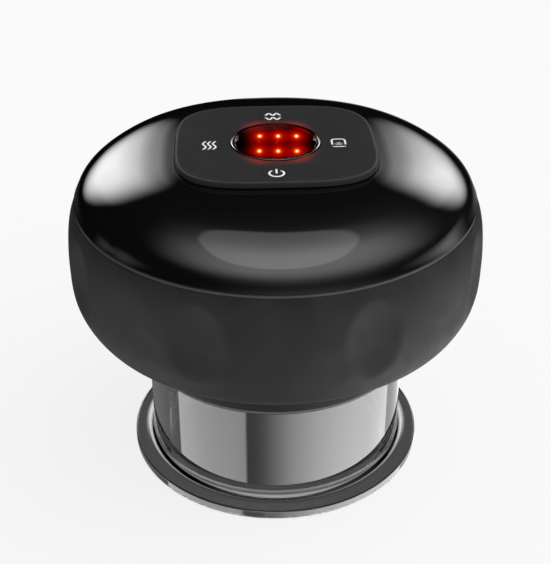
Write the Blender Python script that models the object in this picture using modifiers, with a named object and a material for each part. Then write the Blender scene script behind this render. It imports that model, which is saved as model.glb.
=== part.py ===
"""Electric cupping massager: a hand-held pump head on a clear flanged cup.

Units are metres, +Z is up, and the origin is the centre of the cup's mouth, on the plane that meets the skin.
"""

import math

import bmesh
import bpy
from mathutils import Matrix, Vector

MM = 0.001
DEGREE = math.pi / 180
TURN = 2 * math.pi

# Driving dimensions: fits and overruns
REST_GAP = 0.3 * MM
RUNNING_GAP = 0.1 * MM
OVERRUN = 1.0 * MM

# Driving dimensions: cup
CUP_RADIUS = 30.6 * MM
CUP_WALL = 3.0 * MM
CUP_HEIGHT = 37.3 * MM
FLANGE_RADIUS = 36.0 * MM
FLANGE_THICKNESS = 2.5 * MM
FLANGE_FILLET = 2.6 * MM
FLANGE_ROUND = 0.5 * MM
CUP_MOUTH_CHAMFER = 0.9 * MM
CUP_EDGE_CHAMFER = 0.5 * MM

# Driving dimensions: suction head, collar and what faces the skin
HEAD_PLATE = 1.8 * MM
SPIGOT_LENGTH = 7.4 * MM
SPIGOT_WALL = 2.6 * MM
SEAL_HEIGHT = 2.4 * MM
SEAL_DEPTH = 1.5 * MM
SEAL_BELOW_PLATE = 3.2 * MM
LEDGE_WALL = 4.0 * MM
COLLAR_DROP = 9.1 * MM
COLLAR_WALL = 2.4 * MM
COLLAR_ROUND = 1.2 * MM
COVER_THICKNESS = 1.2 * MM
COVER_INNER_RADIUS = 13.0 * MM
HEAT_PLATE_RADIUS = 15.3 * MM
HEAT_PLATE_THICKNESS = 1.0 * MM
HEAT_PLATE_HOLE = 3.0 * MM
HEAT_PLATE_CHAMFER = 0.4 * MM
FILTER_RADIUS = 3.9 * MM
FILTER_THICKNESS = 1.4 * MM
LIGHT_BOARD_THICKNESS = 1.0 * MM
LIGHT_BOARD_INNER_RADIUS = 8.0 * MM
LIGHT_POST_ANGLES = [30 * DEGREE, 150 * DEGREE, 270 * DEGREE]
LAMP_COUNT = 6
LAMP_SIDE = 3.0 * MM
LAMP_HEIGHT = 1.4 * MM

# Driving dimensions: grip shell and dome
GRIP_ROOM = 6.4 * MM
RIM_INSET = 2.2 * MM
SHELL_WALL = 2.2 * MM
LIP_WALL = 1.0 * MM
LIP_HEIGHT = 3.3 * MM
DIMPLE_COUNT = 8
DIMPLE_DEPTH = 1.3 * MM
DIMPLE_HALF_WIDTH = 11.0 * MM
DIMPLE_HALF_HEIGHT = 17.0 * MM
DIMPLE_THICKNESS = 7.0 * MM
DOME_RISE = 10.7 * MM
DOME_WALL = 2.0 * MM
SEAM_GAP = 0.4 * MM
SKIRT_DEPTH = 3.0 * MM
SKIRT_WALL = 1.6 * MM

# Driving dimensions: key pad, keys and display
PAD_HALF_WIDTH = 22.6 * MM
PAD_HALF_DEPTH = 20.9 * MM
PAD_POWER = 3.7
PAD_THICKNESS = 1.2 * MM
PAD_ROUND = 0.35 * MM
LEDGE_WIDTH = 1.6 * MM
KEY_RADIUS = 3.3 * MM
KEY_FLANGE = 0.6 * MM
KEY_FLANGE_THICKNESS = 0.6 * MM
KEY_CENTRE_RADIUS = 15.1 * MM
KEY_TRAVEL = 0.5 * MM
KEY_ROUND = 0.2 * MM
SWITCH_SIDE = 6.0 * MM
SWITCH_HEIGHT = 2.0 * MM
STEM_RADIUS = 1.1 * MM
STEM_LENGTH = 1.2 * MM
WINDOW_RADIUS = 9.3 * MM
WINDOW_PROUD = 0.15 * MM
WINDOW_CROWN = 0.25 * MM
BEZEL_WIDTH = 0.7 * MM
BEZEL_PROUD = 0.35 * MM
BAFFLE_WALL = 1.2 * MM
DISPLAY_BOARD_THICKNESS = 1.0 * MM
DISPLAY_BOARD_REACH = 3.0 * MM
LED_WIDTH = 2.0 * MM
LED_DEPTH = 2.0 * MM
LED_HEIGHT = 2.3 * MM
LED_ROUND = 0.2 * MM
LED_COLUMN_PITCH = 4.2 * MM
LED_ROW_PITCH = 7.0 * MM

# Driving dimensions: inner frame and boards
FRAME_FLOOR = 1.5 * MM
FRAME_MARGIN = 3.0 * MM
MAIN_BOARD_THICKNESS = 1.2 * MM
MAIN_BOARD_OVERHANG = 1.0 * MM
BOARD_HEADROOM = 0.4 * MM
COMPONENT_SPACE = 3.5 * MM
POST_RADIUS = 2.0 * MM
POST_PIN_RADIUS = 0.9 * MM
POST_PIN_LENGTH = 2.0 * MM
POST_ANGLES = [-53.6 * DEGREE, -131.6 * DEGREE, 90 * DEGREE]
PILLAR_X = 29.3 * MM
PILLAR_TO_CELL = 4.0 * MM
PILLAR_RADIUS = 2.7 * MM
PILLAR_BORE = 2.0 * MM
PILLAR_END_WALL = 1.5 * MM
BOSS_LENGTH = 6.3 * MM
SCREW_HEAD_RADIUS = 1.8 * MM
SCREW_HEAD_HEIGHT = 1.0 * MM
SCREW_SHANK_RADIUS = 0.9 * MM
SCREW_LENGTH = 6.5 * MM
HEAD_SCREW_TO_PILLAR = 9.3 * MM
HEAD_SCREW_LENGTH = 5.2 * MM
HEAD_BOSS_RADIUS = 2.4 * MM
HEAD_BOSS_HEIGHT = 3.6 * MM

# Driving dimensions: cell and charge port
CELL_RADIUS = 9.15 * MM
CELL_LENGTH = 65.0 * MM
CELL_BUTTON_RADIUS = 3.0 * MM
CELL_BUTTON_HEIGHT = 0.8 * MM
CELL_SADDLE_X = 20.0 * MM
SADDLE_THICKNESS = 2.4 * MM
SADDLE_RISE = 4.5 * MM
AISLE_WIDTH = 6.2 * MM
PORT_WIDTH = 8.94 * MM
PORT_HEIGHT = 3.26 * MM
PORT_DEPTH = 7.3 * MM
PORT_WALL = 0.3 * MM
PORT_ROUND_SHARE = 0.6
PORT_SET_BACK = 0.8 * MM
PORT_ABOVE_FLOOR = 12.0 * MM
TONGUE_WIDTH = 6.6 * MM
TONGUE_THICKNESS = 0.7 * MM
TONGUE_LENGTH = 4.6 * MM
PORT_SHELF_DEPTH = 4.4 * MM

# Driving dimensions: pump
MOTOR_RADIUS = 12.1 * MM
MOTOR_LENGTH = 30.8 * MM
MOTOR_ROUND = 1.2 * MM
MOTOR_NOSE_RADIUS = 3.5 * MM
MOTOR_NOSE_HEIGHT = 1.0 * MM
MOTOR_REAR_X = -29.0 * MM
SHAFT_RADIUS = 1.0 * MM
DAMPER_WALL = 1.2 * MM
DAMPER_WIDTH = 4.0 * MM
DAMPER_INSET = 5.0 * MM
CRADLE_WEB = 0.5 * MM
CRADLE_RISE = 7.0 * MM
CRADLE_THICKNESS = 2.4 * MM
CRADLE_WIDTH_SHARE = 0.8
PUMP_RADIUS = 13.0 * MM
PUMP_CASE_LENGTH = 13.0 * MM
PUMP_CASE_WALL = 1.4 * MM
WHEEL_RADIUS = 6.0 * MM
WHEEL_THICKNESS = 3.6 * MM
WHEEL_CLEARANCE = 1.0 * MM
WOBBLE_TILT = 6.0 * DEGREE
WOBBLE_ARMS = 3
WOBBLE_ARM_LENGTH = 9.2 * MM
WOBBLE_ARM_WIDTH = 3.2 * MM
WOBBLE_PLATE_THICKNESS = 1.2 * MM
WOBBLE_HUB_RADIUS = 2.6 * MM
WOBBLE_HUB_LENGTH = 3.2 * MM
PIN_RADIUS = 0.8 * MM
PIN_SEAT = 0.9 * MM
DIAPHRAGM_THICKNESS = 2.0 * MM
DIAPHRAGM_NECK_RADIUS = 1.6 * MM
DIAPHRAGM_RADIUS_SHARE = 0.62
HEAD_BLOCK_LENGTH = 6.0 * MM
HEAD_BLOCK_RIM = 1.0 * MM
NOZZLE_RADIUS = 1.5 * MM
NOZZLE_BORE = 0.9 * MM
NOZZLE_LENGTH = 4.0 * MM
NOZZLE_ABOVE_AXIS = 7.4 * MM

# Driving dimensions: release valve and hoses
VALVE_X = -14.0 * MM
VALVE_TO_CELL = 2.6 * MM
VALVE_RADIUS = 5.8 * MM
VALVE_WAIST_DEPTH = 0.8 * MM
VALVE_HEIGHT = 13.5 * MM
VALVE_BORE = 2.6 * MM
VALVE_CAP_THICKNESS = 1.2 * MM
VALVE_STROKE = 1.0 * MM
PLUNGER_RADIUS = 2.3 * MM
PLUNGER_LENGTH = 7.5 * MM
PLUNGER_TIP_RADIUS = 1.4 * MM
SPRING_RADIUS = 1.5 * MM
SPRING_WIRE = 0.22 * MM
SPRING_TURNS = 3
SPRING_STEPS_PER_TURN = 10
HOSE_RADIUS = 2.4 * MM
HOSE_WALL = 0.55 * MM
NIPPLE_X = 10.0 * MM
NIPPLE_HEIGHT = 6.0 * MM

# Heights, worked out from the skin upwards
PLATE_BOTTOM = CUP_HEIGHT + REST_GAP
PLATE_TOP = PLATE_BOTTOM + HEAD_PLATE
FLOOR_BOTTOM = PLATE_TOP + REST_GAP
FLOOR_TOP = FLOOR_BOTTOM + FRAME_FLOOR
DAMPER_RADIUS = MOTOR_RADIUS + REST_GAP + DAMPER_WALL
PUMP_AXIS_Z = FLOOR_TOP + CRADLE_WEB + REST_GAP + DAMPER_RADIUS
MAIN_BOARD_BOTTOM = PUMP_AXIS_Z + DAMPER_RADIUS + BOARD_HEADROOM
MAIN_BOARD_TOP = MAIN_BOARD_BOTTOM + MAIN_BOARD_THICKNESS
DISPLAY_BOARD_BOTTOM = MAIN_BOARD_TOP + COMPONENT_SPACE
DISPLAY_BOARD_TOP = DISPLAY_BOARD_BOTTOM + DISPLAY_BOARD_THICKNESS
SWITCH_BOTTOM = DISPLAY_BOARD_TOP + REST_GAP
SWITCH_TOP = SWITCH_BOTTOM + SWITCH_HEIGHT
KEY_BOTTOM = SWITCH_TOP + KEY_TRAVEL + REST_GAP
KEY_FLANGE_TOP = KEY_BOTTOM + KEY_FLANGE_THICKNESS
PAD_BOTTOM = KEY_FLANGE_TOP + REST_GAP
PAD_TOP = PAD_BOTTOM + PAD_THICKNESS
DOME_TOP = PAD_BOTTOM - REST_GAP
SEAM_TOP = DOME_TOP - DOME_RISE
GRIP_TOP = SEAM_TOP - SEAM_GAP
GRIP_BOTTOM = PLATE_BOTTOM - REST_GAP - LIP_HEIGHT
SPIGOT_BOTTOM = PLATE_BOTTOM - SPIGOT_LENGTH
COLLAR_BOTTOM = CUP_HEIGHT - COLLAR_DROP
LIGHT_BOARD_TOP = PLATE_BOTTOM - HEAD_PLATE
PORT_Z = FLOOR_TOP + PORT_ABOVE_FLOOR
BOSS_BOTTOM = SEAM_TOP - SKIRT_DEPTH * 2
PILLAR_TOP = BOSS_BOTTOM - REST_GAP
VALVE_BOTTOM = FLOOR_TOP + REST_GAP
VALVE_BODY_BOTTOM = VALVE_BOTTOM + VALVE_CAP_THICKNESS + REST_GAP
VALVE_BODY_TOP = VALVE_BODY_BOTTOM + VALVE_HEIGHT
PLUNGER_TOP = VALVE_BODY_TOP - VALVE_CAP_THICKNESS - REST_GAP
PLUNGER_BOTTOM = PLUNGER_TOP - PLUNGER_LENGTH

# Radii, worked out from the cup outwards
CUP_BORE = CUP_RADIUS - CUP_WALL
SEAL_OUTER = CUP_BORE - REST_GAP
SPIGOT_RADIUS = SEAL_OUTER - REST_GAP
COLLAR_INNER = CUP_RADIUS + REST_GAP
COLLAR_OUTER = COLLAR_INNER + COLLAR_WALL
LIP_INNER = COLLAR_OUTER + REST_GAP
LIP_OUTER = LIP_INNER + LIP_WALL
HEAD_RADIUS = LIP_OUTER + SHELL_WALL - LIP_WALL

# Places on the floor plan
AISLE_Y = -1.2 * MM
CELL_Y = AISLE_Y - AISLE_WIDTH / 2 - CELL_RADIUS
CELL_Z = FLOOR_TOP + CRADLE_WEB + REST_GAP + CELL_RADIUS
PUMP_Y = AISLE_Y + AISLE_WIDTH / 2 + DAMPER_RADIUS
MOTOR_FRONT_X = MOTOR_REAR_X + MOTOR_LENGTH
CASE_START_X = MOTOR_FRONT_X + REST_GAP
CASE_END_X = CASE_START_X + PUMP_CASE_LENGTH
DIAPHRAGM_START_X = CASE_END_X + REST_GAP
DIAPHRAGM_END_X = DIAPHRAGM_START_X + DIAPHRAGM_THICKNESS
HEAD_BLOCK_START_X = DIAPHRAGM_END_X + REST_GAP
HEAD_BLOCK_END_X = HEAD_BLOCK_START_X + HEAD_BLOCK_LENGTH
INLET_X = (HEAD_BLOCK_START_X + HEAD_BLOCK_END_X) / 2
INLET_Z = PUMP_AXIS_Z + NOZZLE_ABOVE_AXIS
INLET_MOUTH_Y = PUMP_Y - math.sqrt(PUMP_RADIUS ** 2 - NOZZLE_ABOVE_AXIS ** 2) - NOZZLE_LENGTH
WHEEL_START_X = CASE_START_X + WHEEL_CLEARANCE
WHEEL_END_X = WHEEL_START_X + WHEEL_THICKNESS
PIVOT_X = DIAPHRAGM_START_X - WHEEL_CLEARANCE
PIVOT = Vector((PIVOT_X, PUMP_Y, PUMP_AXIS_Z))
PIN_DIRECTION = Vector((math.cos(WOBBLE_TILT), 0, math.sin(WOBBLE_TILT)))
PLATE_BACK = WOBBLE_PLATE_THICKNESS + WOBBLE_ARM_LENGTH * math.sin(WOBBLE_TILT)
DAMPER_PLACES = [MOTOR_REAR_X + DAMPER_INSET, MOTOR_FRONT_X - DAMPER_INSET - DAMPER_WIDTH]
VALVE_Y = CELL_Y - CELL_RADIUS - VALVE_TO_CELL - VALVE_RADIUS
FRONT_PILLAR_Y = CELL_Y - CELL_RADIUS - PILLAR_TO_CELL - PILLAR_RADIUS
PILLAR_PLACES = [(PILLAR_X, AISLE_Y), (-PILLAR_X, AISLE_Y), (0, FRONT_PILLAR_Y)]
HEAD_SCREW_X = PILLAR_X - HEAD_SCREW_TO_PILLAR

# Radii of the frame, the board and the shells, worked out from what they go round
FRAME_RADIUS = max(PILLAR_X, -FRONT_PILLAR_Y) + PILLAR_RADIUS + FRAME_MARGIN
MAIN_BOARD_RADIUS = FRAME_RADIUS + MAIN_BOARD_OVERHANG
POST_CENTRE_RADIUS = FRAME_RADIUS - POST_RADIUS / 2
POST_PLACES = [(POST_CENTRE_RADIUS * math.cos(a), POST_CENTRE_RADIUS * math.sin(a)) for a in POST_ANGLES]
CELL_CORNER_RADIUS = math.hypot(CELL_LENGTH / 2, CELL_Y - CELL_RADIUS)
VALVE_OUTER_RADIUS = math.hypot(VALVE_X, VALVE_Y) + VALVE_RADIUS
GRIP_RADIUS = max(CELL_CORNER_RADIUS, VALVE_OUTER_RADIUS) + GRIP_ROOM + SHELL_WALL
RIM_RADIUS = GRIP_RADIUS - RIM_INSET
PORT_FACE_Y = GRIP_RADIUS - PORT_SET_BACK

# Places of the keys and of the two posts that carry the display board
SQUIRCLE_CORNER_SHARE = 0.5 ** (1 / PAD_POWER)
DISPLAY_POST_X = (PAD_HALF_WIDTH - LEDGE_WIDTH) * SQUIRCLE_CORNER_SHARE + POST_RADIUS
DISPLAY_POST_Y = (PAD_HALF_DEPTH - LEDGE_WIDTH) * SQUIRCLE_CORNER_SHARE + POST_RADIUS
KEY_PLACES = {
    "power": (0, -KEY_CENTRE_RADIUS),
    "suction": (KEY_CENTRE_RADIUS, 0),
    "mode": (0, KEY_CENTRE_RADIUS),
    "heat": (-KEY_CENTRE_RADIUS, 0),
}

# Fineness of round shapes
CUP_STEPS = 48
SHELL_STEPS = 40
RING_STEPS = 24
SMALL_STEPS = 12
TINY_STEPS = 8
DIMPLE_STEPS = 16


def clear_scene():
    for obj in list(bpy.data.objects):
        bpy.data.objects.remove(obj)


def new_collection(name):
    collection = bpy.data.collections.new(name)
    bpy.context.scene.collection.children.link(collection)
    return collection


clear_scene()
PARTS = new_collection("cupping_massager")
CUTTERS = new_collection("cutters")
CUTTERS.hide_render = True


# Materials
def plastic(name, colour, roughness, metallic=0.0, alpha=1.0):
    material = bpy.data.materials.new(name)
    material.use_nodes = True
    shader = material.node_tree.nodes["Principled BSDF"]
    shader.inputs["Base Color"].default_value = (*colour, 1.0)
    shader.inputs["Roughness"].default_value = roughness
    shader.inputs["Metallic"].default_value = metallic
    shader.inputs["Alpha"].default_value = alpha
    return material


GLOSS_BLACK = plastic("gloss_black", (0.008, 0.008, 0.008), 0.08)
SOFT_GREY = plastic("soft_grey", (0.034, 0.034, 0.034), 0.62)
PAD_GREY = plastic("pad_grey", (0.022, 0.022, 0.024), 0.5)
KEY_GREY = plastic("key_grey", (0.024, 0.024, 0.026), 0.5)
SMOKED_LENS = plastic("smoked_lens", (0.01, 0.01, 0.01), 0.05)
BRIGHT_TRIM = plastic("bright_trim", (0.5, 0.5, 0.5), 0.12, 1.0)
LED_RED = plastic("led_red", (0.9, 0.05, 0.02), 0.3)
SMOKE_CLEAR = plastic("smoke_clear", (0.2, 0.2, 0.21), 0.05, 0.0, 0.4)
CLEAR = plastic("clear", (0.8, 0.8, 0.8), 0.1, 0.0, 0.5)
FRAME_BLACK = plastic("frame_black", (0.05, 0.05, 0.055), 0.55)
BOARD_GREEN = plastic("board_green", (0.02, 0.13, 0.05), 0.45)
CELL_BLUE = plastic("cell_blue", (0.03, 0.12, 0.4), 0.35)
STEEL = plastic("steel", (0.6, 0.6, 0.6), 0.3, 1.0)
BRASS = plastic("brass", (0.7, 0.5, 0.2), 0.3, 1.0)
PUMP_WHITE = plastic("pump_white", (0.75, 0.75, 0.72), 0.4)
RUBBER_BLACK = plastic("rubber_black", (0.02, 0.02, 0.02), 0.8)
SILICONE = plastic("silicone", (0.65, 0.65, 0.65), 0.45)
FOAM_GREY = plastic("foam_grey", (0.15, 0.15, 0.15), 0.9)


# Shared ways of making a shape
def add_object(name, mesh, material=None, collection=None):
    obj = bpy.data.objects.new(name, mesh)
    (collection or PARTS).objects.link(obj)
    if material:
        obj.data.materials.append(material)
    return obj


def as_cutter(obj):
    obj.hide_render = True
    obj.display_type = "WIRE"
    return obj


def shade_round(obj, angle=35 * DEGREE):
    obj.data.shade_smooth()
    obj.data.set_sharp_from_angle(angle=angle)
    return obj


def baked(obj):
    """The object with its modifiers applied, or its curve made a welded mesh, under the same name."""
    bpy.context.view_layer.update()
    graph = bpy.context.evaluated_depsgraph_get()
    mesh = bpy.data.meshes.new_from_object(obj.evaluated_get(graph))
    shape = bmesh.new()
    shape.from_mesh(mesh)
    bmesh.ops.remove_doubles(shape, verts=shape.verts, dist=RUNNING_GAP / 100)
    shape.to_mesh(mesh)
    shape.free()
    name, place, home = obj.name, obj.matrix_world.copy(), obj.users_collection[0]
    bpy.data.objects.remove(obj)
    made = bpy.data.objects.new(name, mesh)
    made.matrix_world = place
    home.objects.link(made)
    return made


def turned(name, profile, material=None, steps=RING_STEPS, collection=None, place=None):
    """A closed profile of (radius, height) points turned about Z. It runs down its outer side first."""
    mesh = bpy.data.meshes.new(name)
    on_axis = abs(profile[0][0]) < RUNNING_GAP / 100 and abs(profile[-1][0]) < RUNNING_GAP / 100
    edges = [(i, i + 1) for i in range(len(profile) - 1)]
    if not on_axis:
        edges.append((len(profile) - 1, 0))
    mesh.from_pydata([(r, 0, z) for r, z in profile], edges, [])
    obj = add_object(name, mesh, material, collection)
    screw = obj.modifiers.new("Screw", "SCREW")
    screw.steps = screw.render_steps = steps
    screw.use_merge_vertices = True
    screw.merge_threshold = RUNNING_GAP / 100
    obj = baked(obj)
    if place is not None:
        obj.matrix_world = place
    return shade_round(obj)


def cylinder(name, radius, bottom, top, material=None, steps=SMALL_STEPS, collection=None, at=(0, 0)):
    profile = [(0, top), (radius, top), (radius, bottom), (0, bottom)]
    return turned(name, profile, material, steps, collection, Matrix.Translation((at[0], at[1], 0)))


def ring(name, inner, outer, bottom, top, material=None, steps=RING_STEPS, collection=None, at=(0, 0)):
    profile = [(outer, top), (outer, bottom), (inner, bottom), (inner, top)]
    return turned(name, profile, material, steps, collection, Matrix.Translation((at[0], at[1], 0)))


def box(name, low, high, material=None, collection=None, round_edges=0.0):
    shape = bmesh.new()
    bmesh.ops.create_cube(shape, size=1.0)
    size = [h - l for l, h in zip(low, high)]
    centre = [(h + l) / 2 for l, h in zip(low, high)]
    bmesh.ops.scale(shape, vec=size, verts=shape.verts)
    mesh = bpy.data.meshes.new(name)
    shape.to_mesh(mesh)
    shape.free()
    obj = add_object(name, mesh, material, collection)
    obj.location = centre
    if round_edges:
        bevel = obj.modifiers.new("Bevel", "BEVEL")
        bevel.width = round_edges
        bevel.segments = 1
    return obj


def along_x(x=0.0, y=0.0, z=0.0):
    """The place of a shape turned about Z that is to lie along +X."""
    return Matrix.Translation((x, y, z)) @ Matrix.Rotation(TURN / 4, 4, "Y")


# Pieces with so many joined tools that the exact solver leaves open edges on them
MANY_TOOLS = {"inner_frame", "suction_head"}


def changed(obj, tool, operation):
    as_cutter(tool)
    if tool.users_collection[0] is not CUTTERS:
        tool.users_collection[0].objects.unlink(tool)
        CUTTERS.objects.link(tool)
    boolean = obj.modifiers.new(operation.title(), "BOOLEAN")
    boolean.operation = operation
    boolean.solver = "MANIFOLD" if obj.name in MANY_TOOLS else "EXACT"
    boolean.object = tool
    return obj


def cut(obj, tool):
    return changed(obj, tool, "DIFFERENCE")


def joined(obj, tool):
    return changed(obj, tool, "UNION")


def face_out(shape):
    bmesh.ops.recalc_face_normals(shape, faces=shape.faces)
    if shape.calc_volume(signed=True) < 0:
        bmesh.ops.reverse_faces(shape, faces=shape.faces)


def squircle(half_x, half_y, power, count):
    """Points of a superellipse, evenly spread by angle."""
    points = []
    for i in range(count):
        angle = TURN * i / count
        c, s = math.cos(angle), math.sin(angle)
        points.append((
            half_x * math.copysign(abs(c) ** (2 / power), c),
            half_y * math.copysign(abs(s) ** (2 / power), s),
        ))
    return points


def circle(radius, count, at=(0, 0)):
    return [
        (at[0] + radius * math.cos(TURN * i / count), at[1] + radius * math.sin(TURN * i / count))
        for i in range(count)
    ]


def flat_plate(name, outlines, bottom, top, material, round_edges=0.0):
    """A flat outline with holes, extruded between two heights."""
    curve = bpy.data.curves.new(name, "CURVE")
    curve.dimensions = "2D"
    curve.fill_mode = "BOTH"
    curve.extrude = (top - bottom) / 2
    for outline in outlines:
        spline = curve.splines.new("POLY")
        spline.points.add(len(outline) - 1)
        for point, (x, y) in zip(spline.points, outline):
            point.co = (x, y, 0, 1)
        spline.use_cyclic_u = True
    obj = add_object(name, curve)
    obj.location.z = (top + bottom) / 2
    obj = baked(obj)
    shape = bmesh.new()
    shape.from_mesh(obj.data)
    face_out(shape)
    shape.to_mesh(obj.data)
    shape.free()
    obj.data.materials.append(material)
    if round_edges:
        bevel = obj.modifiers.new("Bevel", "BEVEL")
        bevel.width = round_edges
        bevel.segments = 1
    return obj


def arc(centre, radius, start, end, steps):
    """Points of an arc, by angle in degrees from +R towards +Z."""
    points = []
    for i in range(steps + 1):
        angle = (start + (end - start) * i / steps) * DEGREE
        points.append((centre[0] + radius * math.cos(angle), centre[1] + radius * math.sin(angle)))
    return points


def smooth_line(points, steps):
    """A smooth curve through the points, with the given steps to each stretch."""
    ends = [
        tuple(2 * a - b for a, b in zip(points[0], points[1])),
        tuple(2 * a - b for a, b in zip(points[-1], points[-2])),
    ]
    padded = [ends[0], *points, ends[1]]
    made = []
    for i in range(1, len(padded) - 2):
        before, here, there, after = padded[i - 1 : i + 3]
        for j in range(steps):
            t = j / steps
            made.append(tuple(
                h + ((n - b) * t + (2 * b - 5 * h + 4 * n - a) * t ** 2 + (3 * h - b - 3 * n + a) * t ** 3) / 2
                for b, h, n, a in zip(before, here, there, after)
            ))
    made.append(tuple(points[-1]))
    return made


def inset(points, distance):
    """The line of (radius, height) points moved towards the inside, for a line that runs downwards."""
    moved = []
    for i, (r, z) in enumerate(points):
        before = points[max(i - 1, 0)]
        after = points[min(i + 1, len(points) - 1)]
        run, rise = after[0] - before[0], after[1] - before[1]
        length = math.hypot(run, rise)
        moved.append((r + distance * rise / length, z - distance * run / length))
    return moved


def loft(name, rings, material):
    """A closed band through rings of points that all have the same count; the last ring meets the first."""
    shape = bmesh.new()
    rows = [[shape.verts.new(point) for point in points] for points in rings]
    for row, following in zip(rows, rows[1:] + rows[:1]):
        for i in range(len(row)):
            j = (i + 1) % len(row)
            shape.faces.new((row[i], row[j], following[j], following[i]))
    face_out(shape)
    mesh = bpy.data.meshes.new(name)
    shape.to_mesh(mesh)
    shape.free()
    return add_object(name, mesh, material)


# Grip shell
GRIP_HEIGHT_SHARES = [1.0, 0.9, 0.77, 0.58, 0.36, 0.145, 0.045, 0.0]
GRIP_BULGE_SHARES = [0.845, 0.93, 0.98, 1.0, 0.95, 0.66, 0.28, 0.0]


def grip_outer_line(steps):
    """The outer side of the shell from rim to lip, as heights up the shell and bulges beyond the lip."""
    height = GRIP_TOP - GRIP_BOTTOM
    bulge = GRIP_RADIUS - LIP_OUTER
    points = [
        (LIP_OUTER + bulge * b, GRIP_BOTTOM + height * h)
        for h, b in zip(GRIP_HEIGHT_SHARES, GRIP_BULGE_SHARES)
    ]
    points[0] = (RIM_RADIUS, GRIP_TOP)
    return smooth_line(points, steps)


def grip_inner_line():
    inner = [p for p in inset(grip_outer_line(1), SHELL_WALL) if p[0] > HEAD_RADIUS]
    inner[0] = (inner[0][0], GRIP_TOP)
    return [inner[0], *inner[1:-1:2], inner[-1]]


def make_grip_shell():
    outer = grip_outer_line(2)
    inner = grip_inner_line()
    shelf = PLATE_BOTTOM - REST_GAP
    profile = outer + [(LIP_INNER, GRIP_BOTTOM), (LIP_INNER, shelf), (inner[-1][0], shelf)]
    profile += list(reversed(inner[:-1]))
    shell = turned("grip_shell", profile, SOFT_GREY, SHELL_STEPS)
    widest = max(outer)
    for i in range(DIMPLE_COUNT):
        angle = TURN * (i + 0.5) / DIMPLE_COUNT
        shape = bmesh.new()
        bmesh.ops.create_uvsphere(
            shape, u_segments=DIMPLE_STEPS, v_segments=DIMPLE_STEPS // 2, radius=1.0,
        )
        scale = (DIMPLE_THICKNESS, DIMPLE_HALF_WIDTH, DIMPLE_HALF_HEIGHT)
        bmesh.ops.scale(shape, vec=scale, verts=shape.verts)
        mesh = bpy.data.meshes.new(f"dimple_cutter_{i + 1}")
        shape.to_mesh(mesh)
        shape.free()
        dimple = add_object(mesh.name, mesh, None, CUTTERS)
        out = widest[0] + DIMPLE_THICKNESS - DIMPLE_DEPTH
        dimple.matrix_world = Matrix.Rotation(angle, 4, "Z") @ Matrix.Translation((out, 0, widest[1]))
        cut(shell, dimple)
    half_width = PORT_WIDTH / 2 + REST_GAP
    half_height = PORT_HEIGHT / 2 + REST_GAP
    slot = box(
        "port_slot_cutter",
        (-half_width, RIM_RADIUS - SHELL_WALL - LIP_WALL, PORT_Z - half_height),
        (half_width, GRIP_RADIUS + OVERRUN, PORT_Z + half_height),
        None, CUTTERS, half_height / 2,
    )
    return cut(shell, slot)


# Dome cover
DOME_RISE_SHARES = [0.0, 0.32, 0.57, 0.76, 0.89, 0.965, 1.0]
DOME_SPREAD_SHARES = [1.0, 0.925, 0.78, 0.58, 0.36, 0.15, 0.0]
DOME_POWER_SHARES = [0.0, 0.0, 0.04, 0.18, 0.42, 0.75, 1.0]
DOME_TOP_WALL_SHARE = 0.35


def dome_rings(shrink, lift):
    """Rings from the seam circle to the rounded square under the pad, drawn in by a wall thickness."""
    rings = []
    for rise, spread, power in zip(DOME_RISE_SHARES, DOME_SPREAD_SHARES, DOME_POWER_SHARES):
        drawn_in = shrink * (DOME_TOP_WALL_SHARE + (1 - DOME_TOP_WALL_SHARE) * spread)
        half_x = PAD_HALF_WIDTH + (RIM_RADIUS - PAD_HALF_WIDTH) * spread - drawn_in
        half_y = PAD_HALF_DEPTH + (RIM_RADIUS - PAD_HALF_DEPTH) * spread - drawn_in
        height = SEAM_TOP + DOME_RISE * rise - lift * (1 - spread)
        rings.append(level_ring(squircle(half_x, half_y, 2 + (PAD_POWER - 2) * power, SHELL_STEPS), height))
    return rings


def level_ring(outline, height):
    return [(x, y, height) for x, y in outline]


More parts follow.
